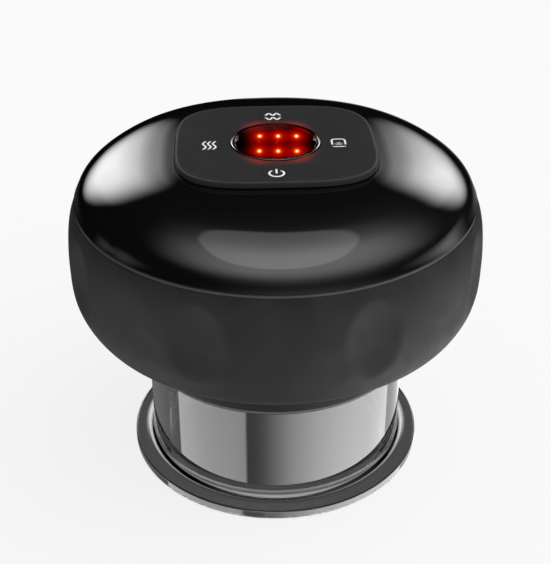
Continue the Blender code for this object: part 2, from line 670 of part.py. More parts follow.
def make_dome_cover():
    mouth = squircle(PAD_HALF_WIDTH - LEDGE_WIDTH, PAD_HALF_DEPTH - LEDGE_WIDTH, PAD_POWER, SHELL_STEPS)
    skirt_outer = RIM_RADIUS - SHELL_WALL - REST_GAP
    skirt_inner = skirt_outer - SKIRT_WALL
    inner = dome_rings(RIM_RADIUS - skirt_inner, DOME_WALL)
    rings = dome_rings(0.0, 0.0)
    rings.append(level_ring(mouth, DOME_TOP))
    rings.append(level_ring(mouth, DOME_TOP - DOME_WALL))
    rings += reversed(inner[::2])
    rings.append(level_ring(circle(skirt_inner, SHELL_STEPS), SEAM_TOP - SKIRT_DEPTH))
    rings.append(level_ring(circle(skirt_outer, SHELL_STEPS), SEAM_TOP - SKIRT_DEPTH))
    rings.append(level_ring(circle(skirt_outer, SHELL_STEPS), SEAM_TOP))
    dome = loft("dome_cover", rings, GLOSS_BLACK)
    for i, place in enumerate(PILLAR_PLACES):
        joined(dome, cylinder(
            f"dome_boss_tool_{i + 1}", PILLAR_RADIUS, BOSS_BOTTOM, DOME_TOP - DOME_WALL,
            None, SMALL_STEPS, CUTTERS, place,
        ))
        cut(dome, cylinder(
            f"dome_pilot_cutter_{i + 1}", SCREW_SHANK_RADIUS + REST_GAP, BOSS_BOTTOM - OVERRUN,
            BOSS_BOTTOM + BOSS_LENGTH, None, TINY_STEPS, CUTTERS, place,
        ))
    for side in (-1, 1):
        x, y = side * DISPLAY_POST_X, side * DISPLAY_POST_Y
        joined(dome, cylinder(
            f"display_post_tool_{side + 2}", POST_RADIUS, SWITCH_BOTTOM, DOME_TOP - DOME_WALL / 2,
            None, TINY_STEPS, CUTTERS, (x, y),
        ))
        joined(dome, cylinder(
            f"display_pin_tool_{side + 2}", POST_PIN_RADIUS, DISPLAY_BOARD_BOTTOM - REST_GAP,
            SWITCH_BOTTOM + REST_GAP, None, TINY_STEPS, CUTTERS, (x, y),
        ))
    return shade_round(dome)


# Key pad, keys and switches
def make_key_pad():
    outlines = [squircle(PAD_HALF_WIDTH, PAD_HALF_DEPTH, PAD_POWER, SHELL_STEPS)]
    outlines.append(circle(WINDOW_RADIUS + REST_GAP + BEZEL_WIDTH + REST_GAP, RING_STEPS))
    for place in KEY_PLACES.values():
        outlines.append(circle(KEY_RADIUS + REST_GAP, SMALL_STEPS, place))
    return flat_plate("key_pad", outlines, PAD_BOTTOM, PAD_TOP, PAD_GREY, PAD_ROUND)


def make_key(name, place):
    flange = KEY_RADIUS + KEY_FLANGE
    profile = [
        (0, PAD_TOP),
        (KEY_RADIUS - KEY_ROUND, PAD_TOP),
        (KEY_RADIUS, PAD_TOP - KEY_ROUND),
        (KEY_RADIUS, KEY_FLANGE_TOP),
        (flange, KEY_FLANGE_TOP),
        (flange, KEY_BOTTOM),
        (0, KEY_BOTTOM),
    ]
    turned(f"{name}_key", profile, KEY_GREY, SMALL_STEPS, None, Matrix.Translation((*place, 0)))
    stem_top = KEY_BOTTOM - REST_GAP
    cylinder(
        f"{name}_switch_stem", STEM_RADIUS, stem_top - STEM_LENGTH, stem_top, BRASS, TINY_STEPS, None, place,
    )
    half = SWITCH_SIDE / 2
    body = box(
        f"{name}_switch",
        (place[0] - half, place[1] - half, SWITCH_BOTTOM),
        (place[0] + half, place[1] + half, SWITCH_TOP),
        FRAME_BLACK,
    )
    well_bottom = stem_top - STEM_LENGTH - KEY_TRAVEL - REST_GAP
    cut(body, cylinder(
        f"{name}_well_cutter", STEM_RADIUS + REST_GAP, well_bottom, SWITCH_TOP + OVERRUN,
        None, TINY_STEPS, CUTTERS, place,
    ))


# Display
CROWN_SHARES = [0, 0.5, 1]
BEZEL_FLAT_SHARE = 0.4


def make_display():
    flange = WINDOW_RADIUS + REST_GAP + BEZEL_WIDTH
    window_edge = PAD_TOP + WINDOW_PROUD
    profile = [(WINDOW_RADIUS * s, window_edge + WINDOW_CROWN * (1 - s ** 2)) for s in CROWN_SHARES]
    profile += [
        (WINDOW_RADIUS, KEY_FLANGE_TOP),
        (flange, KEY_FLANGE_TOP),
        (flange, KEY_BOTTOM),
        (0, KEY_BOTTOM),
    ]
    turned("led_window", profile, SMOKED_LENS)
    bezel_inner = WINDOW_RADIUS + REST_GAP
    bezel_top = PAD_TOP + BEZEL_PROUD
    bevel = BEZEL_WIDTH * (1 - BEZEL_FLAT_SHARE) / 2
    profile = [
        (bezel_inner + BEZEL_WIDTH - bevel, bezel_top),
        (bezel_inner + BEZEL_WIDTH, bezel_top - BEZEL_PROUD / 2),
        (bezel_inner + BEZEL_WIDTH, PAD_BOTTOM),
        (bezel_inner, PAD_BOTTOM),
        (bezel_inner, bezel_top - BEZEL_PROUD / 2),
        (bezel_inner + bevel, bezel_top),
    ]
    turned("window_bezel", profile, BRIGHT_TRIM)
    ring(
        "light_baffle", flange - BAFFLE_WALL, flange, SWITCH_BOTTOM, KEY_BOTTOM - REST_GAP, FRAME_BLACK,
    )
    board = squircle(
        PAD_HALF_WIDTH + DISPLAY_BOARD_REACH, PAD_HALF_DEPTH + DISPLAY_BOARD_REACH, PAD_POWER, RING_STEPS,
    )
    holes = [
        circle(POST_PIN_RADIUS + REST_GAP, TINY_STEPS, (side * DISPLAY_POST_X, side * DISPLAY_POST_Y))
        for side in (-1, 1)
    ]
    flat_plate("display_board", [board, *holes], DISPLAY_BOARD_BOTTOM, DISPLAY_BOARD_TOP, BOARD_GREEN)
    number = 0
    for row in (-0.5, 0.5):
        for column in (-1, 0, 1):
            number += 1
            x, y = column * LED_COLUMN_PITCH, row * LED_ROW_PITCH
            low = (x - LED_WIDTH / 2, y - LED_DEPTH / 2, SWITCH_BOTTOM)
            high = (x + LED_WIDTH / 2, y + LED_DEPTH / 2, SWITCH_BOTTOM + LED_HEIGHT)
            box(f"display_led_{number}", low, high, LED_RED, None, LED_ROUND)


# Suction head, collar, seal and what faces the skin
def make_suction_head():
    seal_top = PLATE_BOTTOM - SEAL_BELOW_PLATE + REST_GAP
    seal_bottom = seal_top - SEAL_HEIGHT - 2 * REST_GAP
    groove = SPIGOT_RADIUS - SEAL_DEPTH
    bore = SPIGOT_RADIUS - SPIGOT_WALL
    ledge = SPIGOT_RADIUS - LEDGE_WALL
    ledge_bottom = SPIGOT_BOTTOM + HEAT_PLATE_THICKNESS + REST_GAP + COVER_THICKNESS + REST_GAP
    profile = [
        (0, PLATE_TOP),
        (HEAD_RADIUS - REST_GAP, PLATE_TOP),
        (HEAD_RADIUS - REST_GAP, PLATE_BOTTOM),
        (SPIGOT_RADIUS, PLATE_BOTTOM),
        (SPIGOT_RADIUS, seal_top),
        (groove, seal_top),
        (groove, seal_bottom),
        (SPIGOT_RADIUS, seal_bottom),
        (SPIGOT_RADIUS, SPIGOT_BOTTOM),
        (bore, SPIGOT_BOTTOM),
        (bore, ledge_bottom),
        (ledge, ledge_bottom),
        (ledge, PLATE_BOTTOM),
        (0, PLATE_BOTTOM),
    ]
    head = turned("suction_head", profile, FRAME_BLACK, RING_STEPS)
    for side in (-1, 1):
        name = f"nipple_{side + 2}"
        joined(head, cylinder(
            f"{name}_tool", NOZZLE_RADIUS, PLATE_TOP - HEAD_PLATE / 2, FLOOR_TOP + NIPPLE_HEIGHT,
            None, TINY_STEPS, CUTTERS, (side * NIPPLE_X, AISLE_Y),
        ))
        cut(head, cylinder(
            f"{name}_cutter", NOZZLE_BORE, PLATE_BOTTOM - OVERRUN, FLOOR_TOP + NIPPLE_HEIGHT + OVERRUN,
            None, TINY_STEPS, CUTTERS, (side * NIPPLE_X, AISLE_Y),
        ))
        cut(head, cylinder(
            f"head_screw_hole_cutter_{side + 2}", SCREW_SHANK_RADIUS + REST_GAP, PLATE_BOTTOM - OVERRUN,
            PLATE_TOP + OVERRUN, None, TINY_STEPS, CUTTERS, (side * HEAD_SCREW_X, AISLE_Y),
        ))
    for i, place in enumerate(PILLAR_PLACES):
        cut(head, cylinder(
            f"screw_access_cutter_{i + 1}", PILLAR_BORE, PLATE_BOTTOM - OVERRUN, PLATE_TOP + OVERRUN,
            None, TINY_STEPS, CUTTERS, place,
        ))
    reach = (LIGHT_BOARD_INNER_RADIUS + ledge) / 2
    for i, angle in enumerate(LIGHT_POST_ANGLES):
        joined(head, cylinder(
            f"light_post_tool_{i + 1}", POST_RADIUS, LIGHT_BOARD_TOP + REST_GAP, PLATE_TOP - HEAD_PLATE / 2,
            None, TINY_STEPS, CUTTERS, (reach * math.cos(angle), reach * math.sin(angle)),
        ))
    lean = SEAL_HEIGHT / 4
    middle = (seal_top + seal_bottom) / 2
    seal_inner = groove + REST_GAP
    profile = [
        (SEAL_OUTER, middle + lean),
        (SEAL_OUTER, middle - lean),
        (SEAL_OUTER - lean, middle - SEAL_HEIGHT / 2),
        (seal_inner, middle - SEAL_HEIGHT / 2),
        (seal_inner, middle + SEAL_HEIGHT / 2),
        (SEAL_OUTER - lean, middle + SEAL_HEIGHT / 2),
    ]
    turned("seal_ring", profile, SILICONE, RING_STEPS)
    round_centre = (COLLAR_OUTER - COLLAR_ROUND, COLLAR_BOTTOM + COLLAR_ROUND)
    profile = [
        (COLLAR_OUTER, PLATE_BOTTOM - REST_GAP),
        *arc(round_centre, COLLAR_ROUND, 0, -90, 2),
        (COLLAR_INNER, COLLAR_BOTTOM),
        (COLLAR_INNER, PLATE_BOTTOM - REST_GAP),
    ]
    turned("cup_collar", profile, FRAME_BLACK, RING_STEPS)


def make_skin_side():
    """The warming plate, the lamp ring and its cover, and the foam disc over the air way."""
    plate_bottom = SPIGOT_BOTTOM
    plate_top = plate_bottom + HEAT_PLATE_THICKNESS
    rim = HEAT_PLATE_CHAMFER
    profile = [
        (HEAT_PLATE_RADIUS - rim, plate_top),
        (HEAT_PLATE_RADIUS, plate_top - rim),
        (HEAT_PLATE_RADIUS, plate_bottom + rim),
        (HEAT_PLATE_RADIUS - rim, plate_bottom),
        (HEAT_PLATE_HOLE, plate_bottom),
        (HEAT_PLATE_HOLE, plate_top),
    ]
    turned("heat_plate", profile, STEEL, RING_STEPS)
    cover_bottom = plate_top + REST_GAP
    cover_outer = SPIGOT_RADIUS - SPIGOT_WALL - REST_GAP
    ring("light_cover", COVER_INNER_RADIUS, cover_outer, cover_bottom, cover_bottom + COVER_THICKNESS, CLEAR)
    cylinder(
        "dust_filter", FILTER_RADIUS, plate_top + REST_GAP, plate_top + REST_GAP + FILTER_THICKNESS,
        FOAM_GREY, SMALL_STEPS,
    )
    board_outer = SPIGOT_RADIUS - LEDGE_WALL - REST_GAP
    board_bottom = LIGHT_BOARD_TOP - LIGHT_BOARD_THICKNESS
    board = ring(
        "light_board", LIGHT_BOARD_INNER_RADIUS, board_outer, board_bottom, LIGHT_BOARD_TOP, BOARD_GREEN,
    )
    reach = (COVER_INNER_RADIUS + board_outer) / 2
    half = LAMP_SIDE / 2
    for i in range(LAMP_COUNT):
        lamp = box(
            f"lamp_tool_{i + 1}",
            (reach - half, -half, board_bottom - LAMP_HEIGHT),
            (reach + half, half, board_bottom + LIGHT_BOARD_THICKNESS / 2),
            None, CUTTERS,
        )
        lamp.matrix_world = Matrix.Rotation(TURN * i / LAMP_COUNT, 4, "Z") @ Matrix.Translation(lamp.location)
        joined(board, lamp)


# Cup
def make_cup():
    fillet_centre = (CUP_RADIUS + FLANGE_FILLET, FLANGE_THICKNESS + FLANGE_FILLET)
    round_centre = (FLANGE_RADIUS - FLANGE_ROUND, FLANGE_THICKNESS - FLANGE_ROUND)
    profile = [(CUP_RADIUS - CUP_EDGE_CHAMFER, CUP_HEIGHT), (CUP_RADIUS, CUP_HEIGHT - CUP_EDGE_CHAMFER)]
    profile += arc(fillet_centre, FLANGE_FILLET, 180, 270, 3)
    profile += arc(round_centre, FLANGE_ROUND, 90, 0, 2)
    profile += [
        (FLANGE_RADIUS, FLANGE_ROUND),
        (FLANGE_RADIUS - FLANGE_ROUND, 0),
        (CUP_BORE + CUP_MOUTH_CHAMFER, 0),
        (CUP_BORE, CUP_MOUTH_CHAMFER),
        (CUP_BORE, CUP_HEIGHT),
    ]
    turned("cup", profile, SMOKE_CLEAR, CUP_STEPS)


# Inner frame
def make_inner_frame():
    frame = cylinder("inner_frame", FRAME_RADIUS, FLOOR_BOTTOM, FLOOR_TOP, FRAME_BLACK, RING_STEPS)
    aisle = box(
        "aisle_cutter",
        (-NIPPLE_X - NOZZLE_RADIUS - REST_GAP, AISLE_Y - NOZZLE_RADIUS - REST_GAP, FLOOR_BOTTOM - OVERRUN),
        (NIPPLE_X + NOZZLE_RADIUS + REST_GAP, AISLE_Y + NOZZLE_RADIUS + REST_GAP, FLOOR_TOP + OVERRUN),
        None, CUTTERS,
    )
    cut(frame, aisle)
    inside_floor = FLOOR_TOP - FRAME_FLOOR / 2
    for side in (-1, 1):
        x = side * CELL_SADDLE_X
        joined(frame, box(
            f"cell_saddle_tool_{side + 2}",
            (x - SADDLE_THICKNESS / 2, CELL_Y - CELL_RADIUS, inside_floor),
            (x + SADDLE_THICKNESS / 2, CELL_Y + CELL_RADIUS - CRADLE_WEB, FLOOR_TOP + SADDLE_RISE),
            None, CUTTERS,
        ))
    cell_profile = [
        (0, CELL_LENGTH / 2), (CELL_RADIUS + REST_GAP, CELL_LENGTH / 2),
        (CELL_RADIUS + REST_GAP, -CELL_LENGTH / 2), (0, -CELL_LENGTH / 2),
    ]
    cut(frame, turned(
        "cell_space_cutter", cell_profile, None, RING_STEPS, CUTTERS, along_x(0, CELL_Y, CELL_Z),
    ))
    half_cradle = DAMPER_RADIUS * CRADLE_WIDTH_SHARE
    for i, start in enumerate(DAMPER_PLACES):
        x = start + DAMPER_WIDTH / 2
        joined(frame, box(
            f"cradle_tool_{i + 1}",
            (x - CRADLE_THICKNESS / 2, PUMP_Y - half_cradle, inside_floor),
            (x + CRADLE_THICKNESS / 2, PUMP_Y + half_cradle, FLOOR_TOP + CRADLE_RISE),
            None, CUTTERS,
        ))
    pump_profile = [
        (0, CELL_LENGTH / 2), (DAMPER_RADIUS + REST_GAP, CELL_LENGTH / 2),
        (DAMPER_RADIUS + REST_GAP, -CELL_LENGTH / 2), (0, -CELL_LENGTH / 2),
    ]
    cut(frame, turned(
        "pump_space_cutter", pump_profile, None, RING_STEPS, CUTTERS, along_x(0, PUMP_Y, PUMP_AXIS_Z),
    ))
    for i, place in enumerate(PILLAR_PLACES):
        joined(frame, cylinder(
            f"pillar_tool_{i + 1}", PILLAR_RADIUS, inside_floor, PILLAR_TOP, None, SMALL_STEPS, CUTTERS, place,
        ))
        cut(frame, cylinder(
            f"pillar_bore_cutter_{i + 1}", PILLAR_BORE, FLOOR_BOTTOM - OVERRUN, PILLAR_TOP - PILLAR_END_WALL,
            None, TINY_STEPS, CUTTERS, place,
        ))
        cut(frame, cylinder(
            f"pillar_hole_cutter_{i + 1}", SCREW_SHANK_RADIUS + REST_GAP, PILLAR_TOP - 2 * PILLAR_END_WALL,
            PILLAR_TOP + OVERRUN, None, TINY_STEPS, CUTTERS, place,
        ))
    for i, place in enumerate(POST_PLACES):
        joined(frame, cylinder(
            f"board_post_tool_{i + 1}", POST_RADIUS, inside_floor, MAIN_BOARD_BOTTOM - REST_GAP,
            None, TINY_STEPS, CUTTERS, place,
        ))
        joined(frame, cylinder(
            f"board_pin_tool_{i + 1}", POST_PIN_RADIUS, MAIN_BOARD_BOTTOM - POST_PIN_LENGTH,
            MAIN_BOARD_BOTTOM + POST_PIN_LENGTH, None, TINY_STEPS, CUTTERS, place,
        ))
    for side in (-1, 1):
        place = (side * HEAD_SCREW_X, AISLE_Y)
        joined(frame, cylinder(
            f"head_boss_tool_{side + 2}", HEAD_BOSS_RADIUS, inside_floor, FLOOR_TOP + HEAD_BOSS_HEIGHT,
            None, TINY_STEPS, CUTTERS, place,
        ))
        cut(frame, cylinder(
            f"head_pilot_cutter_{side + 2}", SCREW_SHANK_RADIUS + REST_GAP, FLOOR_BOTTOM - OVERRUN,
            FLOOR_TOP + HEAD_BOSS_HEIGHT - FRAME_FLOOR / 2, None, TINY_STEPS, CUTTERS, place,
        ))
    shelf_back = PORT_FACE_Y - PORT_DEPTH + PORT_SHELF_DEPTH
    joined(frame, box(
        "port_shelf_tool",
        (-PORT_WIDTH / 2, FRAME_RADIUS - POST_RADIUS, PORT_Z - PORT_HEIGHT / 2 - REST_GAP - FRAME_FLOOR),
        (PORT_WIDTH / 2, shelf_back, PORT_Z - PORT_HEIGHT / 2 - REST_GAP),
        None, CUTTERS,
    ))
    joined(frame, box(
        "port_leg_tool",
        (-PORT_WIDTH / 2, FRAME_RADIUS - 2 * POST_RADIUS, inside_floor),
        (PORT_WIDTH / 2, FRAME_RADIUS + POST_RADIUS / 2, PORT_Z - PORT_HEIGHT / 2 - REST_GAP),
        None, CUTTERS,
    ))
    return frame


# Boards, cell and charge port
CHIP_SHARES = [
    ((-0.1, 0.15), (0.2, 0.2), 0.35),
    ((0.45, -0.25), (0.12, 0.17), 0.5),
    ((-0.5, -0.2), (0.17, 0.12), 0.45),
    ((0.2, -0.5), (0.14, 0.1), 0.3),
]


def make_main_board():
    outlines = [circle(MAIN_BOARD_RADIUS, RING_STEPS)]
    for place in PILLAR_PLACES:
        outlines.append(circle(PILLAR_RADIUS + 2 * REST_GAP, SMALL_STEPS, place))
    for place in POST_PLACES:
        outlines.append(circle(POST_PIN_RADIUS + REST_GAP, TINY_STEPS, place))
    board = flat_plate("main_board", outlines, MAIN_BOARD_BOTTOM, MAIN_BOARD_TOP, BOARD_GREEN)
    for i, (centre_shares, half_shares, height_share) in enumerate(CHIP_SHARES):
        x, y = (MAIN_BOARD_RADIUS * share for share in centre_shares)
        half_x, half_y = (MAIN_BOARD_RADIUS * share for share in half_shares)
        joined(board, box(
            f"chip_tool_{i + 1}",
            (x - half_x, y - half_y, MAIN_BOARD_TOP - MAIN_BOARD_THICKNESS / 2),
            (x + half_x, y + half_y, MAIN_BOARD_TOP + COMPONENT_SPACE * height_share),
            None, CUTTERS,
        ))
    return board


def make_cell():
    half = CELL_LENGTH / 2
    body_end = half - CELL_BUTTON_HEIGHT
    edge = CELL_BUTTON_HEIGHT
    profile = [
        (0, half),
        (CELL_BUTTON_RADIUS, half),
        (CELL_BUTTON_RADIUS, body_end),
        (CELL_RADIUS - edge, body_end),
        (CELL_RADIUS, body_end - edge),
        (CELL_RADIUS, -half + edge),
        (CELL_RADIUS - edge, -half),
        (0, -half),
    ]
    turned("battery_cell", profile, CELL_BLUE, RING_STEPS, None, along_x(0, CELL_Y, CELL_Z))


def make_charge_port():
    back_y = PORT_FACE_Y - PORT_DEPTH
    half_w, half_h = PORT_WIDTH / 2, PORT_HEIGHT / 2
    port = box(
        "charge_port", (-half_w, back_y, PORT_Z - half_h), (half_w, PORT_FACE_Y, PORT_Z + half_h),
        STEEL, None, half_h * PORT_ROUND_SHARE,
    )
    inner_w, inner_h = half_w - PORT_WALL, half_h - PORT_WALL
    well = box(
        "port_well_cutter",
        (-inner_w, back_y + 2 * PORT_WALL, PORT_Z - inner_h),
        (inner_w, PORT_FACE_Y + OVERRUN, PORT_Z + inner_h),
        None, CUTTERS, inner_h * PORT_ROUND_SHARE,
    )
    cut(port, well)
    tongue = box(
        "port_tongue_tool",
        (-TONGUE_WIDTH / 2, back_y + PORT_WALL, PORT_Z - TONGUE_THICKNESS / 2),
        (TONGUE_WIDTH / 2, back_y + TONGUE_LENGTH, PORT_Z + TONGUE_THICKNESS / 2),
        None, CUTTERS,
    )
    return joined(port, tongue)


# Motor and diaphragm pump, both along X
def make_motor():
    nose_top = MOTOR_LENGTH
    face = MOTOR_LENGTH - MOTOR_NOSE_HEIGHT
    blind = MOTOR_LENGTH / 2
    profile = [
        (MOTOR_NOSE_RADIUS, nose_top),
        (MOTOR_NOSE_RADIUS, face),
        (MOTOR_RADIUS - MOTOR_ROUND, face),
        (MOTOR_RADIUS, face - MOTOR_ROUND),
        (MOTOR_RADIUS, MOTOR_ROUND),
        (MOTOR_RADIUS - MOTOR_ROUND, 0),
        (0, 0),
    ]
    bore = SHAFT_RADIUS + RUNNING_GAP
    profile = [(0, blind), (bore, blind), (bore, nose_top), *profile]
    place = along_x(MOTOR_REAR_X, PUMP_Y, PUMP_AXIS_Z)
    turned("motor_can", profile, STEEL, RING_STEPS, None, place)
    for name, x in zip(("motor_damper_rear", "motor_damper_front"), DAMPER_PLACES):
        inner = MOTOR_RADIUS + REST_GAP
        profile = [(DAMPER_RADIUS, DAMPER_WIDTH), (DAMPER_RADIUS, 0), (inner, 0), (inner, DAMPER_WIDTH)]
        turned(name, profile, RUBBER_BLACK, RING_STEPS, None, along_x(x, PUMP_Y, PUMP_AXIS_Z))


def along_pin(back):
    """The place of a shape turned about Z that lies along the tilted pin, this far back from the pivot."""
    tilt = Matrix.Rotation(TURN / 4 - WOBBLE_TILT, 4, "Y")
    return Matrix.Translation(PIVOT - PIN_DIRECTION * back) @ tilt


def make_pump_drive():
    shaft_start = MOTOR_REAR_X + MOTOR_LENGTH / 2 + REST_GAP
    shaft_end = WHEEL_START_X + WHEEL_THICKNESS / 2
    length = shaft_end - shaft_start
    profile = [(0, length), (SHAFT_RADIUS, length), (SHAFT_RADIUS, 0), (0, 0)]
    turned("motor_shaft", profile, STEEL, TINY_STEPS, None, along_x(shaft_start, PUMP_Y, PUMP_AXIS_Z))
    bore = SHAFT_RADIUS + RUNNING_GAP
    depth = WHEEL_THICKNESS / 2 + REST_GAP
    profile = [
        (0, WHEEL_THICKNESS), (WHEEL_RADIUS, WHEEL_THICKNESS), (WHEEL_RADIUS, 0),
        (bore, 0), (bore, depth), (0, depth),
    ]
    place = along_x(WHEEL_START_X, PUMP_Y, PUMP_AXIS_Z)
    wheel = turned("eccentric_wheel", profile, PUMP_WHITE, SMALL_STEPS, None, place)
    pin_length = (PIVOT_X - WHEEL_END_X) / math.cos(WOBBLE_TILT) + PIN_SEAT
    pin_socket = PIN_RADIUS + RUNNING_GAP
    profile = [
        (0, WHEEL_THICKNESS), (pin_socket, WHEEL_THICKNESS), (pin_socket, -RUNNING_GAP), (0, -RUNNING_GAP),
    ]
    cut(wheel, turned("pin_socket_cutter", profile, None, TINY_STEPS, CUTTERS, along_pin(pin_length)))
    profile = [(0, pin_length), (PIN_RADIUS, pin_length), (PIN_RADIUS, 0), (0, 0)]
    turned("wobble_pin", profile, STEEL, TINY_STEPS, None, along_pin(pin_length))
    hub_bore = PIN_RADIUS + RUNNING_GAP
    profile = [
        (WOBBLE_HUB_RADIUS, 0), (WOBBLE_HUB_RADIUS, -WOBBLE_HUB_LENGTH),
        (hub_bore, -WOBBLE_HUB_LENGTH), (hub_bore, 0),
    ]
    plate = turned("wobble_plate", profile, PUMP_WHITE, TINY_STEPS, None, along_pin(PLATE_BACK))
    arm_start = (hub_bore + WOBBLE_HUB_RADIUS) / 2
    for i in range(WOBBLE_ARMS):
        arm = box(
            f"wobble_arm_tool_{i + 1}",
            (arm_start, -WOBBLE_ARM_WIDTH / 2, -WOBBLE_PLATE_THICKNESS - RUNNING_GAP),
            (WOBBLE_ARM_LENGTH, WOBBLE_ARM_WIDTH / 2, -RUNNING_GAP),
            None, CUTTERS,
        )
        turn = Matrix.Rotation(TURN * i / WOBBLE_ARMS, 4, "Z")
        arm.matrix_world = along_pin(PLATE_BACK) @ turn @ Matrix.Translation(arm.location)
        joined(plate, arm)


def make_pump():
    wall = PUMP_CASE_WALL
    hole = MOTOR_NOSE_RADIUS + REST_GAP
    profile = [
        (PUMP_RADIUS, PUMP_CASE_LENGTH), (PUMP_RADIUS, 0), (hole, 0), (hole, wall / 2),
        (PUMP_RADIUS - wall, wall / 2), (PUMP_RADIUS - wall, PUMP_CASE_LENGTH),
    ]
    turned("pump_case", profile, FRAME_BLACK, RING_STEPS, None, along_x(CASE_START_X, PUMP_Y, PUMP_AXIS_Z))
    neck = PIVOT_X - DIAPHRAGM_START_X
    profile = [(0, DIAPHRAGM_THICKNESS), (PUMP_RADIUS, DIAPHRAGM_THICKNESS), (PUMP_RADIUS, 0), (0, 0)]
    place = along_x(DIAPHRAGM_START_X, PUMP_Y, PUMP_AXIS_Z)
    diaphragm = turned("pump_diaphragm", profile, RUBBER_BLACK, RING_STEPS, None, place)
    for i in range(WOBBLE_ARMS):
        reach = WOBBLE_ARM_LENGTH * DIAPHRAGM_RADIUS_SHARE
        cup = [
            (0, DIAPHRAGM_THICKNESS / 2), (DIAPHRAGM_NECK_RADIUS, DIAPHRAGM_THICKNESS / 2),
            (DIAPHRAGM_NECK_RADIUS, neck / 4), (0, neck / 4),
        ]
        turn = Matrix.Rotation(TURN * i / WOBBLE_ARMS, 4, "Z") @ Matrix.Translation((reach, 0, 0))
        joined(diaphragm, turned(f"neck_tool_{i + 1}", cup, None, TINY_STEPS, CUTTERS, place @ turn))
    rim = HEAD_BLOCK_RIM
    profile = [
        (0, HEAD_BLOCK_LENGTH), (PUMP_RADIUS - 2 * rim, HEAD_BLOCK_LENGTH),
        (PUMP_RADIUS - rim, HEAD_BLOCK_LENGTH - rim), (PUMP_RADIUS - rim, 2 * rim),
        (PUMP_RADIUS, 2 * rim), (PUMP_RADIUS, 0), (0, 0),
    ]
    place = along_x(HEAD_BLOCK_START_X, PUMP_Y, PUMP_AXIS_Z)
    head = turned("pump_head", profile, FRAME_BLACK, RING_STEPS, None, place)
    outlet = [
        (0, NOZZLE_LENGTH), (NOZZLE_RADIUS, NOZZLE_LENGTH), (NOZZLE_RADIUS, -rim), (0, -rim),
    ]
    joined(head, turned(
        "outlet_tool", outlet, None, TINY_STEPS, CUTTERS, along_x(HEAD_BLOCK_END_X, PUMP_Y, PUMP_AXIS_Z),
    ))
    inlet_place = Matrix.Translation((INLET_X, INLET_MOUTH_Y, INLET_Z)) @ Matrix.Rotation(TURN / 4, 4, "X")
    inlet = [
        (0, 0), (NOZZLE_RADIUS, 0), (NOZZLE_RADIUS, -2 * NOZZLE_LENGTH), (0, -2 * NOZZLE_LENGTH),
    ]
    joined(head, turned("inlet_tool", inlet, None, TINY_STEPS, CUTTERS, inlet_place))
    bore = [
        (0, OVERRUN), (NOZZLE_BORE, OVERRUN), (NOZZLE_BORE, -NOZZLE_LENGTH), (0, -NOZZLE_LENGTH),
    ]
    cut(head, turned("inlet_bore_cutter", bore, None, TINY_STEPS, CUTTERS, inlet_place))
    return head


# Release valve, standing on the frame's floor
def make_valve():
    place = Matrix.Translation((VALVE_X, VALVE_Y, 0))
    waist = VALVE_RADIUS - VALVE_WAIST_DEPTH
    end = VALVE_CAP_THICKNESS
    nozzle_top = VALVE_BODY_TOP + NOZZLE_LENGTH
    profile = [
        (NOZZLE_BORE, nozzle_top),
        (NOZZLE_RADIUS, nozzle_top),
        (NOZZLE_RADIUS, VALVE_BODY_TOP),
        (VALVE_RADIUS, VALVE_BODY_TOP),
        (VALVE_RADIUS, VALVE_BODY_TOP - end),
        (waist, VALVE_BODY_TOP - end),
        (waist, VALVE_BODY_BOTTOM + end),
        (VALVE_RADIUS, VALVE_BODY_BOTTOM + end),
        (VALVE_RADIUS, VALVE_BODY_BOTTOM),
        (VALVE_BORE, VALVE_BODY_BOTTOM),
        (VALVE_BORE, VALVE_BODY_TOP - end),
        (NOZZLE_BORE, VALVE_BODY_TOP - end),
    ]
    turned("valve_body", profile, STEEL, SMALL_STEPS, None, place)
    tip = PLUNGER_TIP_RADIUS
    profile = [
        (0, PLUNGER_TOP),
        (tip, PLUNGER_TOP),
        (PLUNGER_RADIUS, PLUNGER_TOP - tip / 2),
        (PLUNGER_RADIUS, PLUNGER_BOTTOM),
        (0, PLUNGER_BOTTOM),
    ]
    turned("valve_plunger", profile, STEEL, SMALL_STEPS, None, place)
    cap_top = VALVE_BOTTOM + VALVE_CAP_THICKNESS
    profile = [
        (VALVE_RADIUS, cap_top),
        (VALVE_RADIUS, VALVE_BOTTOM),
        (NOZZLE_BORE, VALVE_BOTTOM),
        (NOZZLE_BORE, cap_top),
    ]
    turned("valve_cap", profile, BRASS, SMALL_STEPS, None, place)
    spring_bottom = cap_top + REST_GAP + SPRING_WIRE
    spring_top = PLUNGER_BOTTOM - REST_GAP - SPRING_WIRE
    steps = SPRING_TURNS * SPRING_STEPS_PER_TURN
    points = []
    for i in range(steps + 1):
        angle = TURN * SPRING_TURNS * i / steps
        height = spring_bottom + (spring_top - spring_bottom) * i / steps
        points.append((
            VALVE_X + SPRING_RADIUS * math.cos(angle), VALVE_Y + SPRING_RADIUS * math.sin(angle), height,
        ))
    tube("valve_spring", points, SPRING_WIRE, STEEL, 1)


# Hoses and other round tubes
def tube(name, points, radius, material, resolution, wall=0.0):
    """A round tube through the points: solid with closed ends, or open with the given wall."""
    curve = bpy.data.curves.new(name, "CURVE")
    curve.dimensions = "3D"
    curve.bevel_depth = radius
    curve.bevel_resolution = resolution
    curve.use_fill_caps = not wall
    spline = curve.splines.new("POLY")
    spline.points.add(len(points) - 1)
    for point, place in zip(spline.points, points):
        point.co = (*place, 1)
    obj = baked(add_object(name, curve))
    obj.data.materials.append(material)
    if wall:
        solid = obj.modifiers.new("Wall", "SOLIDIFY")
        solid.thickness = wall
        solid.offset = -1
    return shade_round(obj)


